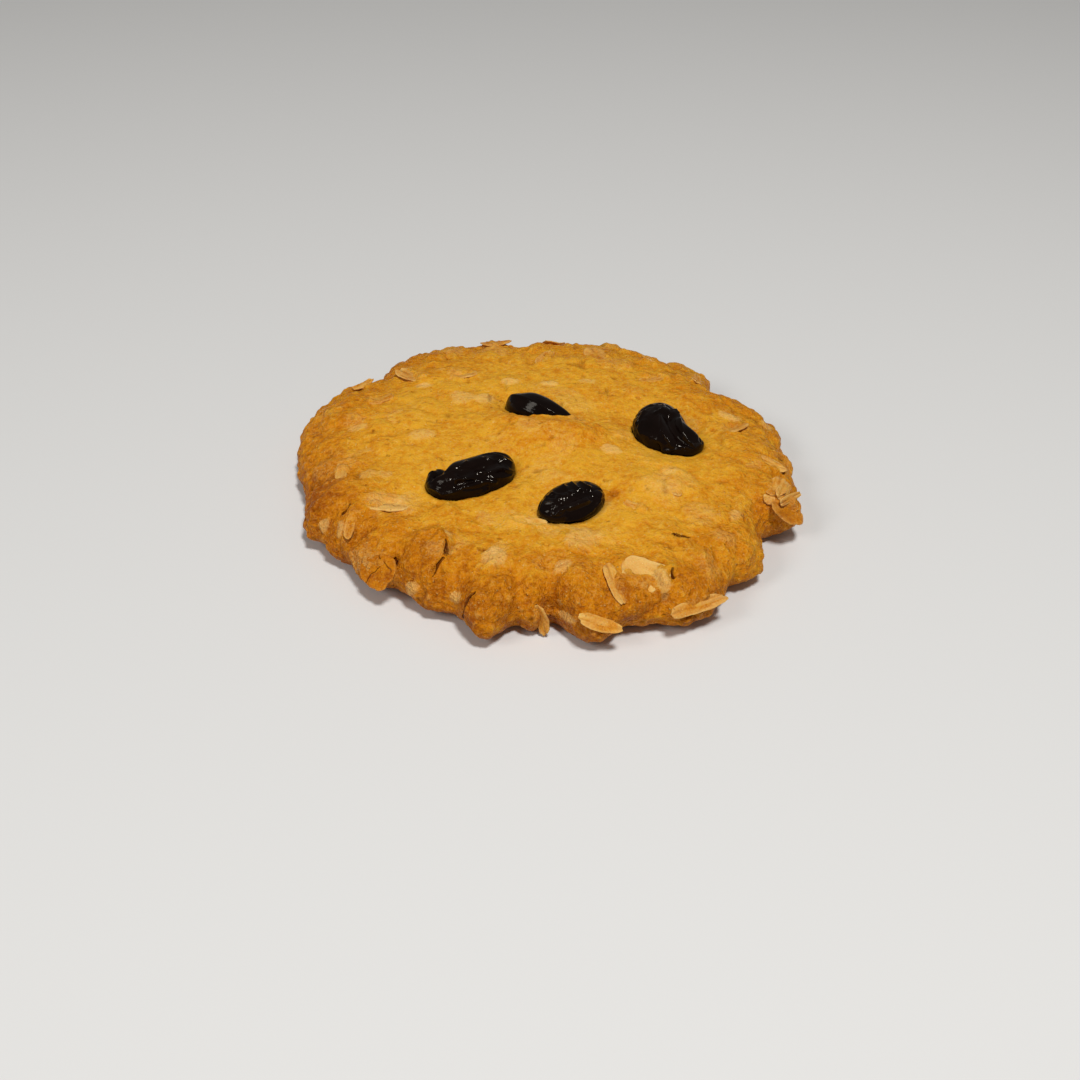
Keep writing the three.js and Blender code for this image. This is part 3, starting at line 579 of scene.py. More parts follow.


# Materials

# Colours of the bake: three from the least to the most baked, then pale flakes, then a near black that is
# mostly painted shade in pits, cracks, gutters and hollows
bakeColours = {
    "golden": (0.72, 0.345, 0.020, 1),
    "amber": (0.60, 0.200, 0.003, 1),
    "brown": (0.34, 0.080, 0.001, 1),
    "cream": (0.84, 0.54, 0.18, 1),
    "burntAndShade": (0.11, 0.018, 0.001, 1),
}

# Grain of the shading: noises with scale, detail, roughness and share of the height, and rounded granules
crumbNoises = {"Sand": (3.0, 2.0, 0.6, 0.35), "Grain": (0.6, 3.0, 0.6, 0.9), "Mottle": (1.3, 3.0, 0.65, 1.2)}
# pale picks the granules that turn pale, partly as a painted highlight on their tops
granules = {"scale": 1.6, "reach": (0.34, 0.04), "some": (0.3, 1.0), "pale": (0.65, 0.75), "height": 0.35}

# Dough and oats: grain size in millimetres, height of the bump in metres, how far the grain browns in its
# hollows and pales on its tops, partly as painted shade and light
doughFinish = {
    "grainSize": 1.0, "bump": 0.0006, "brownSpread": 0.34, "paleSpread": 0.42, "roughness": (0.42, 0.7),
}
oatFinish = {
    "grainSize": 0.7, "bump": 0.0002, "brownSpread": 0.25, "paleSpread": 0.3, "roughness": (0.42, 0.65),
}
doughLight = {
    "Specular IOR Level": 0.15,
    "Specular Tint": (1.0, 0.66, 0.3, 1),
    "Subsurface Weight": 0.1,
    "Subsurface Radius": (1.0, 0.42, 0.12),
    "Subsurface Scale": 0.0012,
}

# Raisin skin: its darkest and lightest colour, and its gloss
skinColours = ((0.002, 0.0012, 0.001, 1), (0.008, 0.0035, 0.0025, 1))
skinLight = {"IOR": 1.33, "Specular IOR Level": 0.3, "Specular Tint": (1.0, 0.92, 0.8, 1)}


def newGroup(name, inputs, outputs):
    group = bpy.data.node_groups.new(name, "ShaderNodeTree")
    for label, kind, value in inputs:
        socket = group.interface.new_socket(label, in_out="INPUT", socket_type=kind)
        if value is not None:
            socket.default_value = value
    for label, kind in outputs:
        group.interface.new_socket(label, in_out="OUTPUT", socket_type=kind)
    return group


def fill(tree, node, values):
    # a number goes into a node's socket, and another node's socket is linked to it
    for key, value in values.items():
        if isinstance(value, bpy.types.NodeSocket):
            tree.links.new(value, node.inputs[key])
        else:
            node.inputs[key].default_value = value


def addNode(tree, kind, settings=None, values=None):
    node = tree.nodes.new(kind)
    for key, value in (settings or {}).items():
        setattr(node, key, value)
    fill(tree, node, values or {})
    return node


def mathNode(tree, operation, a, b=0.0, c=0.0, clamp=False):
    settings = {"operation": operation, "use_clamp": clamp}
    return addNode(tree, "ShaderNodeMath", settings, {0: a, 1: b, 2: c}).outputs[0]


def times(tree, a, b):
    return mathNode(tree, "MULTIPLY", a, b)


def timesPlus(tree, a, b, c, clamp=False):
    return mathNode(tree, "MULTIPLY_ADD", a, b, c, clamp)


def minus(tree, a, b):
    return mathNode(tree, "SUBTRACT", a, b)


def vectorNode(tree, operation, values, output=0):
    return addNode(tree, "ShaderNodeVectorMath", {"operation": operation}, values).outputs[output]


def stretch(tree, value, low, high, toLow=0.0, toHigh=1.0, way="LINEAR"):
    values = {0: value, 1: low, 2: high, 3: toLow, 4: toHigh}
    return addNode(tree, "ShaderNodeMapRange", {"interpolation_type": way}, values).outputs[0]


def mixColour(tree, amount, a, b):
    node = addNode(tree, "ShaderNodeMix", {"data_type": "RGBA"}, {0: amount, 6: a, 7: b})
    return node.outputs[2]


def noiseTexture(tree, vector, scale, detail, roughness):
    values = {"Vector": vector, "Scale": scale, "Detail": detail, "Roughness": roughness}
    return addNode(tree, "ShaderNodeTexNoise", {}, values).outputs[0]


def makeToneGroup():
    # golden dough that goes amber and then brown with Brown, cream with Pale and near black with Dark,
    # which is mostly painted shade
    inputs = [(label, "NodeSocketFloat", 0.0) for label in ("Brown", "Pale", "Dark")]
    group = newGroup("bakedTone", inputs, [("Color", "NodeSocketColor")])
    given = group.nodes.new("NodeGroupInput")
    ramp = addNode(group, "ShaderNodeValToRGB", {}, {0: given.outputs["Brown"]})
    stops = ramp.color_ramp.elements
    stops[0].position, stops[0].color = 0.0, bakeColours["golden"]
    stops[1].position, stops[1].color = 1.0, bakeColours["brown"]
    stops.new(0.5).color = bakeColours["amber"]
    toned = mixColour(group, given.outputs["Pale"], ramp.outputs[0], bakeColours["cream"])
    toned = mixColour(group, given.outputs["Dark"], toned, bakeColours["burntAndShade"])
    addNode(group, "NodeGroupOutput", {}, {"Color": toned})
    return group


def makeGrainGroup():
    # baked crumb: three sizes of noise and rounded granules, each by itself and summed as a Height for a
    # bump, with a mask of painted shade where small pits fall and one of pale granules, partly a painted
    # highlight
    labels = ("Grain", "Mottle", "Sand", "Height", "PitShade", "PaleGranuleHighlight")
    group = newGroup("crumbGrain", [("Vector", "NodeSocketVector", None), ("Size", "NodeSocketFloat", 1.0)],
                     [(label, "NodeSocketFloat") for label in labels])
    given = group.nodes.new("NodeGroupInput")
    vector = given.outputs["Vector"]
    perMetre = mathNode(group, "DIVIDE", 1000.0, given.outputs["Size"])
    outputs = {}
    height = 0.0
    for label, (scale, detail, rough, share) in crumbNoises.items():
        layer = noiseTexture(group, vector, times(group, perMetre, scale), detail, rough)
        height = timesPlus(group, layer, share, height)
        outputs[label] = stretch(group, layer, 0.25, 0.75)
    cellScale = times(group, perMetre, granules["scale"])
    cells = addNode(group, "ShaderNodeTexVoronoi", {}, {"Vector": vector, "Scale": cellScale})
    each = addNode(group, "ShaderNodeSeparateColor", {}, {0: cells.outputs["Color"]}).outputs[0]
    near = stretch(group, cells.outputs["Distance"], *granules["reach"], way="SMOOTHSTEP")
    granule = times(group, stretch(group, each, *granules["some"]), near)
    outputs["Height"] = timesPlus(group, granule, granules["height"], height)
    # painted shade of small pits: dark flecks with no dent of their own
    outputs["PitShade"] = stretch(group, noiseTexture(group, vector, perMetre, 1.0, 0.6), 0.68, 0.76)
    # pale granules, partly a painted highlight standing in for gloss on their tops
    outputs["PaleGranuleHighlight"] = times(group, granule, stretch(group, each, *granules["pale"]))
    addNode(group, "NodeGroupOutput", {}, outputs)
    return group


def makeCrackGroup():
    # a thin line of painted shade from one place to another, seen from above: 1 within the width of the
    # line, which tapers to both ends
    inputs = [(label, "NodeSocketVector", None) for label in ("Vector", "From", "To")]
    inputs.append(("Width", "NodeSocketFloat", 0.0002))
    group = newGroup("hairCrack", inputs, [("Mask", "NodeSocketFloat")])
    given = group.nodes.new("NodeGroupInput").outputs
    run = vectorNode(group, "SUBTRACT", {0: given["To"], 1: given["From"]})
    reach = vectorNode(group, "SUBTRACT", {0: given["Vector"], 1: given["From"]})
    along = vectorNode(group, "DOT_PRODUCT", {0: reach, 1: run}, 1)
    whole = vectorNode(group, "DOT_PRODUCT", {0: run, 1: run}, 1)
    share = mathNode(group, "DIVIDE", along, whole, clamp=True)
    side = vectorNode(group, "SCALE", {0: run, "Scale": share})
    away = vectorNode(group, "DISTANCE", {0: reach, 1: side}, 1)
    bow = times(group, share, minus(group, 1.0, share))
    width = times(group, given["Width"], mathNode(group, "SQRT", times(group, bow, 4.0)))
    outer, inner = mathNode(group, "ADD", width, 0.00001), times(group, width, 0.3)
    mask = stretch(group, away, outer, inner, way="SMOOTHSTEP")
    addNode(group, "NodeGroupOutput", {}, {"Mask": mask})
    return group


toneGroup = makeToneGroup()
grainGroup = makeGrainGroup()
crackGroup = makeCrackGroup()


def newMaterial(name):
    material = bpy.data.materials.new(name)
    material.use_nodes = True
    tree = material.node_tree
    tree.nodes.clear()
    shader = tree.nodes.new("ShaderNodeBsdfPrincipled")
    output = tree.nodes.new("ShaderNodeOutputMaterial")
    tree.links.new(shader.outputs[0], output.inputs[0])
    return material, tree, shader


def crackMask(tree, where, rows):
    # all the lines of painted shade of rows (x, y, length, turn, width), at places that waver, on the upper
    # side alone
    stray = addNode(tree, "ShaderNodeTexNoise", {}, {"Vector": where, "Scale": 520.0, "Detail": 2.0})
    offset = vectorNode(tree, "SUBTRACT", {0: stray.outputs[1], 1: (0.5, 0.5, 0.5)})
    moved = vectorNode(tree, "MULTIPLY_ADD", {0: offset, 1: (0.0018, 0.0018, 0.0), 2: where})
    flat = vectorNode(tree, "MULTIPLY", {0: moved, 1: (1, 1, 0)})
    height = addNode(tree, "ShaderNodeSeparateXYZ", {}, {0: where}).outputs[2]
    mask = 0.0
    for x, y, long, turn, width in rows:
        middle = np.array([x, y, 0]) + place * (1, 1, 0)
        reach = np.array([math.cos(turn * degrees), math.sin(turn * degrees), 0]) * long / 2
        values = {"Vector": flat, "Width": width * mm}
        values["From"] = ((middle - reach) * mm).tolist()
        values["To"] = ((middle + reach) * mm).tolist()
        line = addNode(tree, "ShaderNodeGroup", {"node_tree": crackGroup}, values)
        mask = mathNode(tree, "MAXIMUM", mask, line.outputs[0])
    return times(tree, mask, stretch(tree, height, 0.002, 0.003))


def bakedMaterial(name, finish, lines):
    # dough or oat: painted brown, pale and dark amounts, broken up by the crumb, browner in its hollows and
    # paler on its tops partly as painted shade and light, and by painted shade along cracks, over a grainy
    # bump
    material, tree, shader = newMaterial(name)
    painted = addNode(tree, "ShaderNodeAttribute", {"attribute_name": "bake"})
    split = addNode(tree, "ShaderNodeSeparateColor", {}, {0: painted.outputs["Color"]}).outputs
    where = tree.nodes.new("ShaderNodeTexCoord").outputs["Object"]
    values = {"Vector": where, "Size": finish["grainSize"]}
    crumb = addNode(tree, "ShaderNodeGroup", {"node_tree": grainGroup}, values).outputs
    patches = minus(tree, noiseTexture(tree, where, 260.0, 4.0, 0.65), 0.5)
    # browner where the crumb is low: partly a mottled bake, partly painted shade in its hollows
    brown = timesPlus(tree, minus(tree, 0.5, crumb["Grain"]), finish["brownSpread"], split[0])
    brown = timesPlus(tree, minus(tree, 0.5, crumb["Mottle"]), 0.6, brown)
    brown = timesPlus(tree, patches, 0.8, brown, clamp=True)
    # paler where the sand is high: partly a pale bake, partly painted light on its tops
    pale = timesPlus(tree, minus(tree, crumb["Sand"], 0.5), finish["paleSpread"], split[1])
    # pale granules, partly a painted highlight on their tops
    pale = timesPlus(tree, crumb["PaleGranuleHighlight"], 0.55, pale, clamp=True)
    crack = crackMask(tree, where, lines)
    # painted shade where small pits fall
    dark = timesPlus(tree, crumb["PitShade"], 0.35, split[2])
    # painted shade along the cracks; the same lines dent the bump below
    dark = timesPlus(tree, crack, 0.62, dark, clamp=True)
    values = {"Brown": brown, "Pale": pale, "Dark": dark}
    tone = addNode(tree, "ShaderNodeGroup", {"node_tree": toneGroup}, values).outputs[0]
    high = times(tree, painted.outputs["Alpha"], crumb["Height"])
    high = minus(tree, high, times(tree, crack, 0.8))
    rough = stretch(tree, crumb["Grain"], 0.3, 0.7, *finish["roughness"])
    values = {"Strength": 1.0, "Distance": finish["bump"], "Height": high}
    raised = addNode(tree, "ShaderNodeBump", {}, values).outputs[0]
    fill(tree, shader, {"Base Color": tone, "Roughness": rough, "Normal": raised, **doughLight})
    return material


def raisinMaterial():
    # dried fruit skin: near black, a little wine-brown in places, with a wet gloss
    material, tree, shader = newMaterial("raisinSkin")
    where = tree.nodes.new("ShaderNodeTexCoord").outputs["Object"]
    patches = noiseTexture(tree, where, 320.0, 3.0, 0.6)
    colour = mixColour(tree, patches, *skinColours)
    rough = stretch(tree, patches, 0.3, 0.7, 0.06, 0.16)
    values = {"Strength": 0.3, "Distance": 0.0001, "Height": noiseTexture(tree, where, 1500.0, 3.0, 0.6)}
    raised = addNode(tree, "ShaderNodeBump", {}, values).outputs[0]
    fill(tree, shader, {"Base Color": colour, "Roughness": rough, "Normal": raised, **skinLight})
    return material


# the deepest cracks and holes are drawn as thin lines of painted shade too
shadedCrackLines = [[x, y, long, turn, 0.8 * width] for x, y, long, turn, width, depth in cracks if depth >= 0.8]
shadedCrackLines += [[x, y, long, turn, 0.5 * wide] for x, y, long, wide, turn, depth in holes if depth >= 1.1]
print("crack lines", len(shadedCrackLines))
crustMaterial = bakedMaterial("bakedDough", doughFinish, shadedCrackLines)
oatMaterial = bakedMaterial("toastedOat", oatFinish, oatCreases)
skinMaterial = raisinMaterial()
print("materials ready")


# The crust

# How far each fine form pushes the crust out, or in
formHeights = {
    "collar": 0.3, "cover": 0.6, "inside": -0.1, "gutter": -0.06, "plateGutter": -0.25,
    "pits": -0.3, "cracks": -0.5, "holes": -0.8,
}

# How much each cause browns, pales or darkens the crust, several of them painted shade and light; its bump
# in the middle and at the rim; the middle of the base
crustTones = {
    "brownAll": 0.06, "brownRimAndShade": 0.42, "brownFoot": 0.25, "brownHills": 0.10, "brownSpots": 1.0,
    "brownPlates": 1.0, "brownBakeAndShadeAmongCrumbs": 0.16, "brownBakeAndShadeAmongGrains": 0.14,
    "palePlates": 0.8, "paleOats": 0.1, "paleBakeAndLightOnGrains": 0.12,
    "darkShadeInCracks": 0.4, "darkShadowUnderFlakes": 0.02, "darkShadowUnderPlates": 0.3, "darkShadeInPits": 0.4, "darkShadeRoundRaisins": 0.3,
    "bump": (0.34, 0.9),
    "middle": [0.7, 0.0, 0.1, 1.0],
}


def besideFlakes(points, flakes):
    # for each flake: its number, which points are near it, and where they lie along, across and over it,
    # in half lengths, half widths and millimetres
    for n, (middle, length, side, up, long, wide) in enumerate(zip(*flakes)):
        near = np.flatnonzero(np.abs(points - middle).max(1) < long)
        local = points[near] - middle
        yield n, near, local @ length / (long / 2), local @ side / (wide / 2), local @ up


def plateField(points, flakes, lift, soft, tones):
    # each flake under the crust lifts it like a plate under a cloth, crisp on its high side and soft on
    # the other, with a wavering outline; the highest wins, and tones it; a ditch along the crisp side also
    # carries a painted shadow
    raised, gutter, tone = np.zeros(len(points)), np.zeros(len(points)), np.zeros((len(points), 2))
    for n, near, u, v, w in besideFlakes(points, flakes):
        here = points[near]
        wobble = 0.20 * noiseAt(here, 2.6, 0.71 * n) + 0.12 * noiseAt(here, 1.0, 0.31 * n)
        r = np.hypot(u, v) + wobble
        onThisFace = rise(3.0, 1.2, np.abs(w))
        softness = blendTo(soft, 1.0, rise(0.4, -0.8, v))
        height = lift[n] * rise(1.05 + 0.3 * softness, 1.0 - 0.6 * softness, r) * onThisFace
        patchy = rise(-0.2, 0.5, noiseAt(here, 2.2, 0.91 * n))
        # the ditch under the crisp edge, also the mask of its painted shadow
        ditch = np.exp(-((r - 1.12 - 0.2 * softness) / 0.12) ** 2) * np.clip(v, 0, 1) * onThisFace * patchy
        share = np.clip(1.4 * height / lift[n], 0, 1)[:, None]
        tone[near] = np.where(height[:, None] > raised[near, None], tones[n] * share, tone[near])
        raised[near] = np.maximum(raised[near], height)
        gutter[near] = np.maximum(gutter[near], ditch * min(1.0, 2 * lift[n]))
    return raised, gutter, tone


def oatCover(points, flakes, paleness):
    # crust round a shown oat: a ragged collar of dough at its outline, how far inside it each point is,
    # and patches of dough that lie over it, fewer on the palest
    collar, inside, cover = np.zeros(len(points)), np.zeros(len(points)), np.zeros(len(points))
    for n, near, u, v, w in besideFlakes(points, flakes):
        here = points[near]
        r, level = np.hypot(u, v), rise(2.0, 1.0, np.abs(w))
        ragged = 0.5 + 0.9 * noiseAt(here, 1.3, 0.37 * n)
        collar[near] = np.maximum(collar[near], np.exp(-((r - 1.05) / 0.25) ** 2) * ragged * level)
        within = rise(1.15, 0.85, r) * level
        patch = noiseAt(here, 1.7, 0.53 * n) + 0.55 - 0.9 * paleness[n]
        cover[near] = np.maximum(cover[near], within * np.clip(patch, 0, 1))
        inside[near] = np.maximum(inside[near], within)
    return collar, inside, cover


def grooves(points, rows, wavy):
    # narrow bell-shaped cuts: how deep each point is and how much painted shade darkens it, along short
    # wavering lines or in ovals
    depth, dark = np.zeros(len(points)), np.zeros(len(points))
    for n, (x, y, long, turn, width, deep) in enumerate(rows):
        near = np.flatnonzero((np.hypot(points[:, 0] - x, points[:, 1] - y) < long) & (points[:, 2] > 2.0))
        u, v = turnedBy(turn, points[near, 0] - x, points[near, 1] - y)
        v = v + wavy * noise(u / 0.9 + n, 0 * u + 3.3, 0 * u + 0.5)
        across = np.exp(-(v / width) ** 2) * rise(1.0, 0.6, np.abs(u) / (long / 2))
        depth[near] = np.maximum(depth[near], deep * across)
        # painted shade in the cut
        dark[near] = np.maximum(dark[near], across * min(1.0, deep))
    return depth, dark


def raisinHollow(points):
    # under each raisin the crust is held below the fruit's own underside; round it the dough stands up a
    # little, in the outline |along|^blunt + (across / half width)^2 = 1; also a mask of painted shade at the
    # fruit's edge
    points = points.copy()
    shade = np.zeros(len(points))
    for raisin in raisins:
        dx, dy = points[:, 0] - raisin["x"], points[:, 1] - raisin["y"]
        along, across = turnedBy(raisin["turn"], dx, dy)
        along = along / (raisin["long"] / 2)
        across = across - raisin["bend"] * (along * along - 0.4)
        near = np.clip(along, -1, 1)
        side = np.where(across > 0, -15 * degrees, 195 * degrees)
        half = (raisin["wide"] / 2 - valleyDepth(raisin, near, side)) * (1 + raisin["taper"] * near)
        q = np.sqrt(np.abs(along) ** raisin["blunt"] + (across / half) ** 2)
        top = points[:, 2] > 3.0
        seed = raisin["seed"]
        ragged = 1.0 + 0.05 * noiseAt(points, 1.3, seed) + 0.03 * noiseAt(points, 0.7, seed)
        nearSide = 0.4 + 0.6 * rise(0.2, -0.6, dy / raisin["wide"])
        stand = raisin["collar"] * nearSide * np.exp(-((q - 1.16) / 0.14) ** 2)
        points[:, 2] += stand * (0.6 + 0.6 * noiseAt(points, 1.1, 2 * seed)) * top
        under = np.sqrt(np.clip(1 - (q / ragged) ** 2, 0, 1)) * raisin["thick"] / 2
        floor = raisinSeat(raisin) - under - raisinMesh["clear"]
        inHollow = (q < ragged) & top
        points[:, 2] = np.where(inHollow, np.minimum(points[:, 2], floor), points[:, 2])
        # painted shade where the crust meets the fruit
        shade = np.maximum(shade, rise(1.12, 0.98, q) * top)
    return points, shade


def crustGrid():
    # a bent square grid over the top and shoulder, rings down to the foot, and rings across a flat base:
    # the share and angle of each point, how far the base is drawn in there, and the faces
    cells = crust["gridCells"]
    row = cells + 1
    line = np.linspace(-1, 1, row)
    b, a = np.meshgrid(line, line, indexing="ij")
    share, angle = squareToDisc(a.ravel(), b.ravel())
    index = np.arange(row * row).reshape(row, row)
    quads = [np.stack([index[:-1, :-1], index[:-1, 1:], index[1:, 1:], index[1:, :-1]], -1).reshape(-1, 4)]
    edge = np.concatenate([index[0, :-1], index[:-1, -1], index[-1, :0:-1], index[:0:-1, 0]])
    count = len(edge)
    below = np.linspace(0, 1, crust["bellyRings"] + 1)[1:]
    inward = np.linspace(1, 0, crust["baseRings"] + 1)[1:-1]
    ringShare = np.concatenate([1 + below, 2 + 0 * inward])
    drawn = np.repeat(np.concatenate([1 + 0 * below, inward]), count)
    share = np.concatenate([share, np.repeat(ringShare, count)])
    angle = np.concatenate([angle, np.tile(angle[edge], len(ringShare))])
    ring = edge
    for n in range(len(ringShare)):
        nextRing = row * row + n * count + np.arange(count)
        quads.append(np.stack([ring, nextRing, np.roll(nextRing, -1), np.roll(ring, -1)], -1))
        ring = nextRing
    middle = row * row + len(ringShare) * count
    fan = np.stack([0 * ring + middle, np.roll(ring, -1), ring], -1)
    faces = np.concatenate(quads).tolist() + fan.tolist()
    return share, angle, np.concatenate([np.ones(row * row), drawn]), faces


def makeCrust():
    # the crust of the solid, pushed out or in by the sum of its fine forms, each with its amount
    share, angle, drawn, faces = crustGrid()
    points, facing = crustPoint(angle, share)
    points[:, :2] *= drawn[:, None]

    n = np.arange(buriedFlakes["count"])
    lift = blendTo(*buriedFlakes["lift"], chance(n + 1600))
    tones = np.stack([0.2 * chance(n + 1700) - 0.1, 0.22 * rise(0.6, 1.0, chance(n + 1800))], 1)
    raised, gutter, tone = plateField(points, layFlakes(spreadBuried()), lift, buriedFlakes["soft"], tones)
    rows = np.array(plates)
    laid = layFlakes(np.hstack([rows[:, :5], 0 * rows[:, :2]]))
    bulged, bulgeGutter, bulgeTone = plateField(points, laid, rows[:, 5], 0.3, rows[:, 6:])
    flakes = spreadOats()
    collar, inside, cover = oatCover(points, layFlakes(flakes), np.array([flake[7] for flake in flakes]))
    crackDepth, crackShade = grooves(points, cracks, 0.35)
    holeRows = [[x, y, long, turn, wide / 2, deep] for x, y, long, wide, turn, deep in holes]
    holeDepth, holeShade = grooves(points, holeRows, 0.2)
    # pits dent the crust and are darkened as painted shade
    pits = rise(0.62, 0.86, noiseAt(points, 1.35, 23.7))
    rim = rise(0.55, 0.95, share)
    craggy = rim * (0.4 + 0.6 * rise(24, -8, points[:, 1]))  # the near rim is the rougher one
    crumbs = crumbsAt(points, grain["crumbs"][0], 1.7)
    grains = crumbsAt(points, grain["grains"][0], 5.3)
    layers = {"crumbs": (craggy, crumbs - 0.3), "grains": (rim, grains - 0.3),
              "rough": (rim, noiseAt(points, grain["rough"][0], 9.1))}
    rough = sum(blendTo(*grain[name][1:], where) * layer for name, (where, layer) in layers.items())
    rough = rough - grain["drawnIn"] * rise(0.7, 1.0, share)
    forms = {"collar": collar, "cover": cover, "inside": inside, "gutter": gutter,
             "plateGutter": bulgeGutter, "pits": pits, "cracks": crackDepth, "holes": holeDepth}
    push = raised + bulged * (1 - 0.5 * inside) + rough
    push = push + sum(formHeights[name] * form for name, form in forms.items())
    points = points + facing * (push * np.clip(2 - share, 0, 1))[:, None]
    # hollow is the mask of painted shade round the raisins
    points, hollow = raisinHollow(points)
    underside = 0.25 * rise(0.1, 0.8, noiseAt(points, 5.0, 4.4))
    points[:, 2] = np.where(drawn < 1, underside, np.maximum(points[:, 2], 0))

    x, y, z = points.T
    spots = sum(amount * np.exp(-((x - spotX) ** 2 + (y - spotY) ** 2) / r ** 2)
                for spotX, spotY, r, amount in brownSpots)
    # browner rim from the bake, more so towards the front and left as painted shade
    shadedFrontLeft = 0.8 - 0.2 * y / 40 - 0.18 * x / 40
    causes = {
        "brownAll": 1, "brownRimAndShade": rise(0.5, 1.05, share) * shadedFrontLeft, "brownFoot": rise(1.05, 1.6, share),
        "brownHills": relief(x, y, z, np.clip(share, 0, 1)) * rim, "brownSpots": spots,
        # browner between crumbs and grains and paler on grain tops: partly the bake, partly painted shade
        # and light
        "brownPlates": tone[:, 0] + bulgeTone[:, 0], "brownBakeAndShadeAmongCrumbs": (0.6 - crumbs) * rim,
        "brownBakeAndShadeAmongGrains": 0.5 - grains, "palePlates": tone[:, 1] + bulgeTone[:, 1], "paleOats": inside,
        # the dark causes are painted shade: in cracks, holes and pits, under raised flake edges and round
        # the raisins
        "paleBakeAndLightOnGrains": rise(0.4, 0.8, grains), "darkShadeInCracks": np.maximum(crackShade, holeShade),
        "darkShadowUnderFlakes": gutter, "darkShadowUnderPlates": bulgeGutter, "darkShadeInPits": pits, "darkShadeRoundRaisins": hollow,
    }
    bake = [sum(crustTones[name] * cause for name, cause in causes.items() if name.startswith(kind))
            for kind in ("brown", "pale", "dark")]
    painted = np.stack(bake + [blendTo(*crustTones["bump"], rim)], 1)
    points = np.concatenate([points, [[0, 0, 0]]])
    piece = makePiece("crust", points, faces, crustMaterial, "cookie")
    paint(piece, "bake", np.concatenate([painted, [crustTones["middle"]]]))
    return piece


def makeOats():
    # closed flat flakes: a thin plate in the outline |cos|^blunt + |sin|^blunt = 1, which wavers, with a
    # rounded edge, ends curled up and a crease along it, darkened with painted shade
    rows = spreadOats()
    middle, length, side, up, long, wide = layFlakes(rows)
    paleness = np.array([row[7] for row in rows])[:, None, None]
    count = len(long)
    s = np.linspace(0, math.pi, oats["rings"] + 1)[None, :, None]
    a = np.linspace(0, 2 * math.pi, oats["around"], endpoint=False)[None, None, :]
    n = np.arange(count)[:, None, None]
    blunt = oats["blunt"]
    outline = (np.abs(np.cos(a)) ** blunt + np.abs(np.sin(a)) ** blunt) ** (-1 / blunt)
    outline = outline + 0.05 * np.cos(2 * a + 9 * chance(n)) + 0.06 * np.cos(3 * a + 9 * chance(n + 40))
    for wave, share, start in oats["ragged"]:
        outline = outline + share * noise(wave * np.cos(a) + n, wave * np.sin(a), 0 * a + start)
    r = np.sin(s) ** 0.8
    u, v = r * np.cos(a) * outline, r * np.sin(a) * outline
    half = oats["thickness"] / 2 * (0.75 + 0.5 * chance(n + 80))
    w = half * np.sign(np.cos(s)) * np.abs(np.cos(s)) ** 0.7 + 0 * u
    w = w + oats["cup"] * u * u + 0.25 * (chance(n + 120) - 0.3) * v * v
    w = w - 0.16 * np.exp(-(v / 0.16) ** 2) * (np.cos(s) > 0) * r
    for perLong, perWide, high, start in oats["relief"]:
        w = w + high * noise(perLong * u + 3 * n, perWide * v, 0 * u + start) * r
    local = [u * long[:, None, None] / 2, v * wide[:, None, None] / 2, w]
    reach = sum(q[..., None] * d[:, None, None, :] for q, d in zip(local, (length, side, up)))
    points = closeEnds(middle[:, None, None, :] + reach)
    quads, first, end = poleFaces(oats["rings"] - 1, oats["around"])
    offsets = np.arange(count)[:, None, None] * points.shape[1]
    faces = []
    for block in (quads, first, end):
        faces += (block[None, :, ::-1] + offsets).reshape(-1, block.shape[1]).tolist()
    piece = makePiece("oats", points.reshape(-1, 3), faces, oatMaterial, "cookie")
    streak = noise(0.9 * u + 5.3 * n, 4.5 * v, 0 * u + 2.5)
    film = rise(-0.1, 0.5, noise(2.4 * u + 7.1 * n, 2.4 * v, 0 * u + 6.5) + 0.35 - 0.9 * paleness)
    brown = 0.36 - 0.24 * paleness + 0.16 * chance(n + 160) - 0.1 * streak + 0.16 * film
    pale = (0.8 * paleness + 0.25 * streak) * (1 - 0.7 * film) + 0.3 * r ** 6
    # painted shade in the crease along the middle, over a slight darkening of the whole flake
    dark = 0.07 + 0.25 * np.exp(-(v / 0.1) ** 2) * r
    layers = np.stack(np.broadcast_arrays(brown, pale, dark, oats["bump"]), -1)
    paint(piece, "bake", closeEnds(layers).reshape(-1, 4))
    return piece


def makeRaisin(raisin):
    rings, segments = raisinMesh["fineRings"], raisinMesh["fineSegments"]
    points = closeEnds(raisinSurface(raisin, rings, segments, True)[None])[0]
    faces = [f for block in poleFaces(rings - 1, segments) for f in block.tolist()]
    return makePiece(raisin["name"] + "_fruit", points, faces, skinMaterial, raisin["name"])


makeCrust()
makeOats()
for raisin in raisins:
    makeRaisin(raisin)
print("pieces ready")


# The table, the lights and the camera

stage = {
    "tableHalf": 3.0,
    "tableColour": (0.72, 0.71, 0.69, 1),
    "lamps": [("keyLamp", 20, 66, 0.7, 0.12, 3.6), ("fillLamp", -50, 40, 0.9, 0.35, 2.0)],
    "roomColour": (1.0, 0.99, 0.97, 1),
    "roomLight": 0.15,
    "roomSeen": 0.5,  # how much paler the room looks than the light that it gives
}


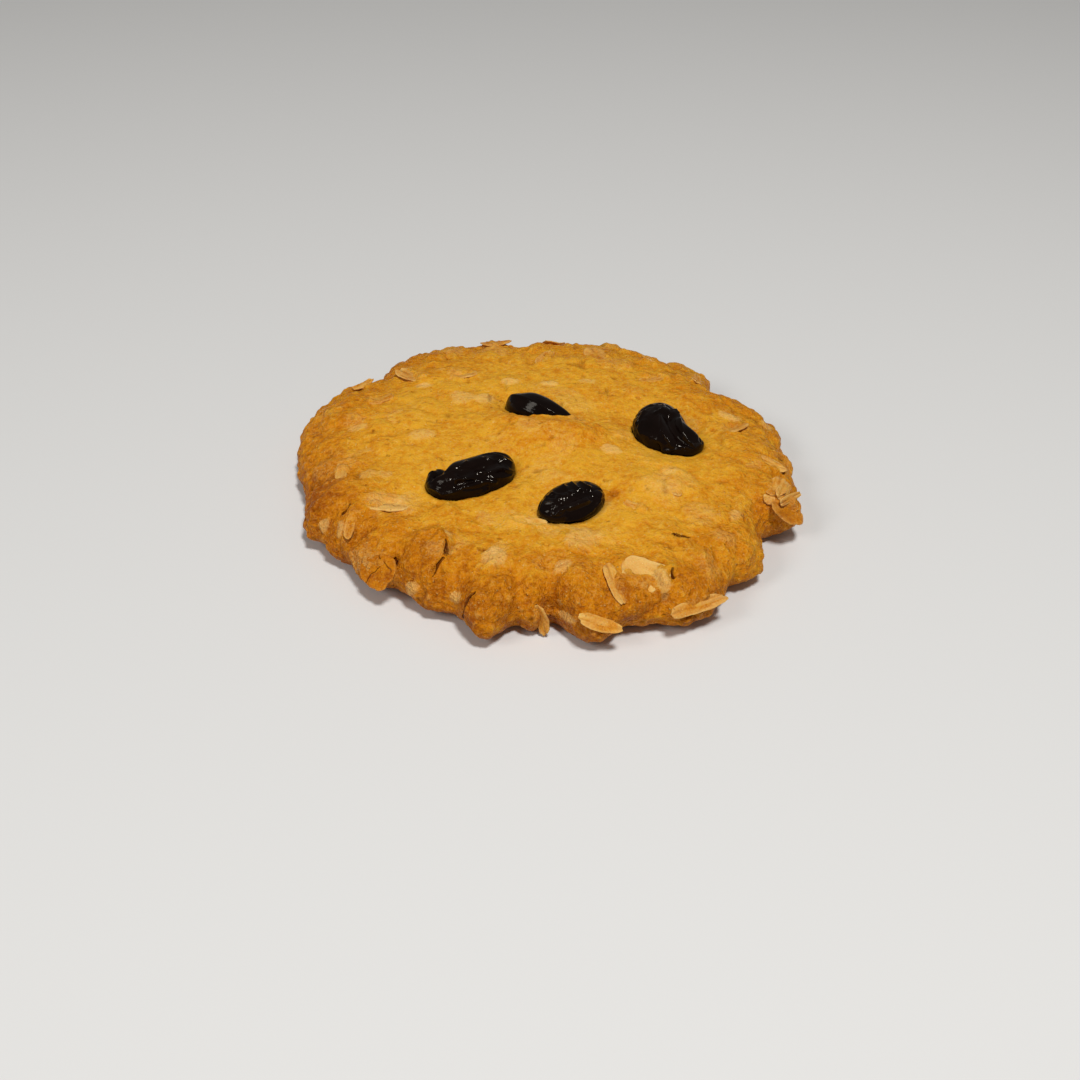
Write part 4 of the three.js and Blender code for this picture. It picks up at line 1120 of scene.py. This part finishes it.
def makeFloor():
    mesh = bpy.data.meshes.new("table")
    half = stage["tableHalf"]
    corners = [(-half, -half, 0), (half, -half, 0), (half, half, 0), (-half, half, 0)]
    mesh.from_pydata(corners, [], [(0, 1, 2, 3)])
    material, tree, shader = newMaterial("paleTable")
    fill(tree, shader, {"Base Color": stage["tableColour"], "Roughness": 0.7})
    mesh.materials.append(material)
    floor = bpy.data.objects.new("table", mesh)
    bpy.context.scene.collection.objects.link(floor)


def addLamp(name, azimuth, elevation, distance, size, power):
    # a round soft lamp that faces the cookie, from an azimuth where 0 is behind the camera
    lamp = bpy.data.lights.new(name, "AREA")
    lamp.shape, lamp.size, lamp.energy = "DISK", size, power
    piece = bpy.data.objects.new(name, lamp)
    a, e = azimuth * degrees, elevation * degrees
    piece.location = Vector((math.sin(a) * math.cos(e), -math.cos(a) * math.cos(e), math.sin(e))) * distance
    piece.rotation_euler = piece.location.to_track_quat("Z", "Y").to_euler()
    bpy.context.scene.collection.objects.link(piece)


def makeCamera():
    # looks at the aim from its distance and elevation, then rolls about its own line of sight
    view = cameraView
    e = view["elevation"] * degrees
    spot = Vector((0, -math.cos(e), math.sin(e))) * view["distance"]
    aim = Vector(view["aim"])
    facing = (aim - spot).to_track_quat("-Z", "Y").to_matrix()
    turn = facing @ Matrix.Rotation(view["roll"] * degrees, 3, "Z")
    camera = bpy.data.cameras.new("camera")
    camera.lens = view["focalPixels"] / view["imagePixels"] * camera.sensor_width
    camera.clip_start, camera.clip_end = 0.01, 20
    piece = bpy.data.objects.new("camera", camera)
    piece.matrix_world = Matrix.Translation((spot + Vector(place)) * mm) @ turn.to_4x4()
    bpy.context.scene.collection.objects.link(piece)
    bpy.context.scene.camera = piece


def makeRoom():
    # even light from all round, paler where the camera sees it
    world = bpy.data.worlds.new("studio")
    world.use_nodes = True
    tree = world.node_tree
    seen = tree.nodes.new("ShaderNodeLightPath").outputs["Is Camera Ray"]
    strength = timesPlus(tree, seen, stage["roomSeen"], stage["roomLight"])
    fill(tree, tree.nodes["Background"], {0: stage["roomColour"], 1: strength})
    bpy.context.scene.world = world
    bpy.context.scene.view_settings.view_transform = "Standard"


makeFloor()
for lamp in stage["lamps"]:
    addLamp(*lamp)
makeCamera()
makeRoom()
print("stage ready")
